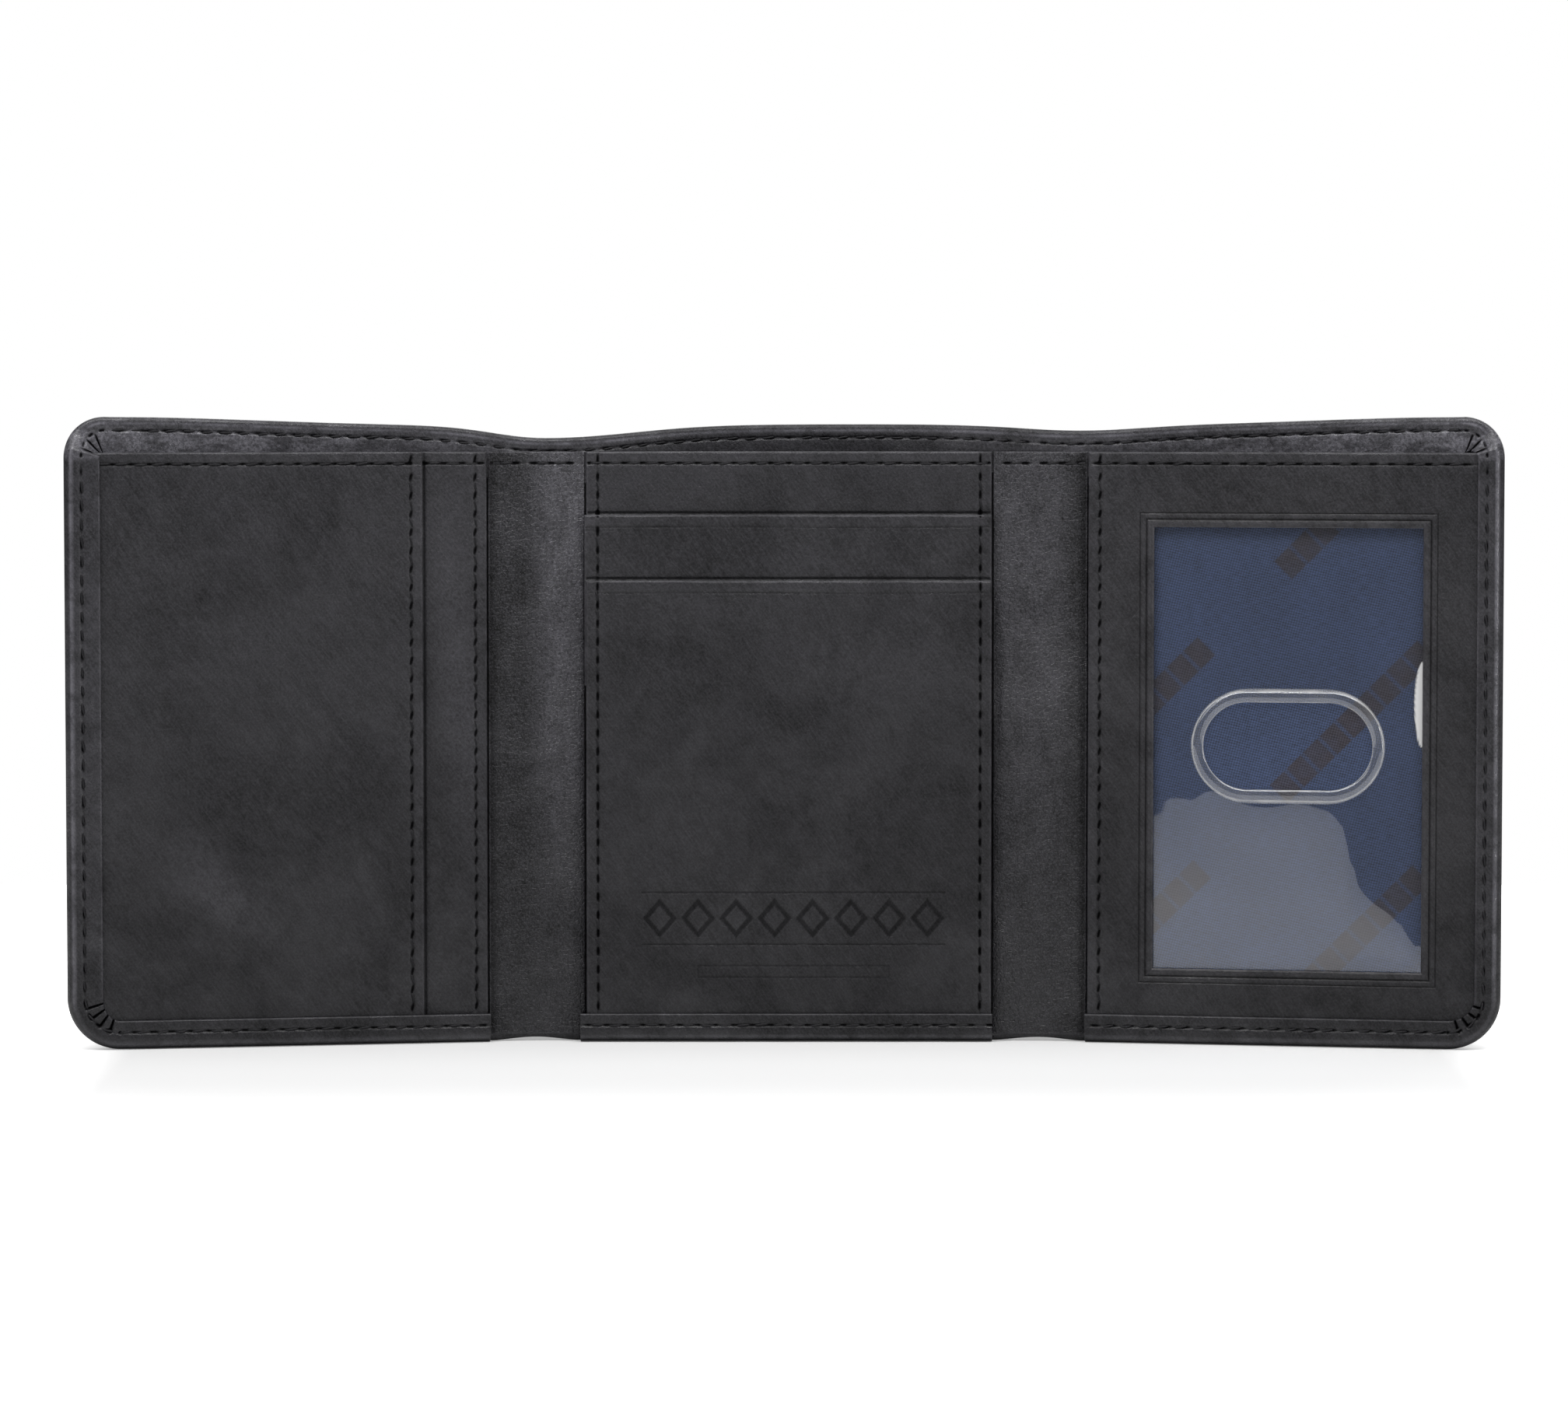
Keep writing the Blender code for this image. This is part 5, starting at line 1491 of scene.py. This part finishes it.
def softbox(name, location, target, width, height, power):
    """A rectangular area light that faces its target."""
    light = bpy.data.lights.new(name, "AREA")
    light.shape = "RECTANGLE"
    light.size, light.size_y = width, height
    light.energy = power
    lamp = bpy.data.objects.new(name, light)
    bpy.context.collection.objects.link(lamp)
    lamp.location = location
    lamp.rotation_euler = (Vector(target) - Vector(location)).to_track_quat("-Z", "Y").to_euler()


TARGET = (0.0, 0.0, 0.05)
softbox("overhead", (0.0, -0.25, 1.15), (0.0, 0.0, 0.0), 1.6, 1.3, 9.0)
softbox("near_top", (0.0, -0.20, 0.42), (0.0, 0.0, 0.09), 0.6, 0.10, 1.1)
softbox("key", (-0.75, -0.75, 0.65), TARGET, 0.5, 0.7, 1.7)
softbox("strip", (0.85, -0.62, 0.16), TARGET, 0.12, 0.40, 1.2)
softbox("back_light", (0.1, 0.8, 0.6), TARGET, 1.2, 0.6, 3.6)

WORLD_FILL = 0.09


def make_world():
    """A white backdrop to the camera that fills the scene only faintly."""
    world = bpy.data.worlds.new("studio")
    bpy.context.scene.world = world
    world.use_nodes = True
    nodes, links = world.node_tree.nodes, world.node_tree.links
    nodes.clear()
    choice = nodes.new("ShaderNodeMixShader")
    links.new(nodes.new("ShaderNodeLightPath").outputs["Is Camera Ray"], choice.inputs[0])
    for socket, strength in ((1, WORLD_FILL), (2, 1.0)):
        background = nodes.new("ShaderNodeBackground")
        background.inputs["Color"].default_value = (1, 1, 1, 1)
        background.inputs["Strength"].default_value = strength
        links.new(background.outputs[0], choice.inputs[socket])
    links.new(choice.outputs[0], nodes.new("ShaderNodeOutputWorld").inputs["Surface"])


make_world()

CAMERA_DISTANCE = 1.0035
CAMERA_RISE = radians(3.5)
AIM = Vector((0.0, 0.0, 0.05798))
camera_data = bpy.data.cameras.new("camera")
camera_data.lens, camera_data.sensor_width = 134.0, 36.0
camera_data.clip_start, camera_data.clip_end = 0.05, 20.0
camera = bpy.data.objects.new("camera", camera_data)
bpy.context.collection.objects.link(camera)
camera.location = AIM + CAMERA_DISTANCE * Vector((0, -cos(CAMERA_RISE), sin(CAMERA_RISE)))
camera.rotation_euler = (pi / 2 - CAMERA_RISE, 0, 0)
bpy.context.scene.camera = camera
bpy.context.scene.view_settings.view_transform = "Standard"
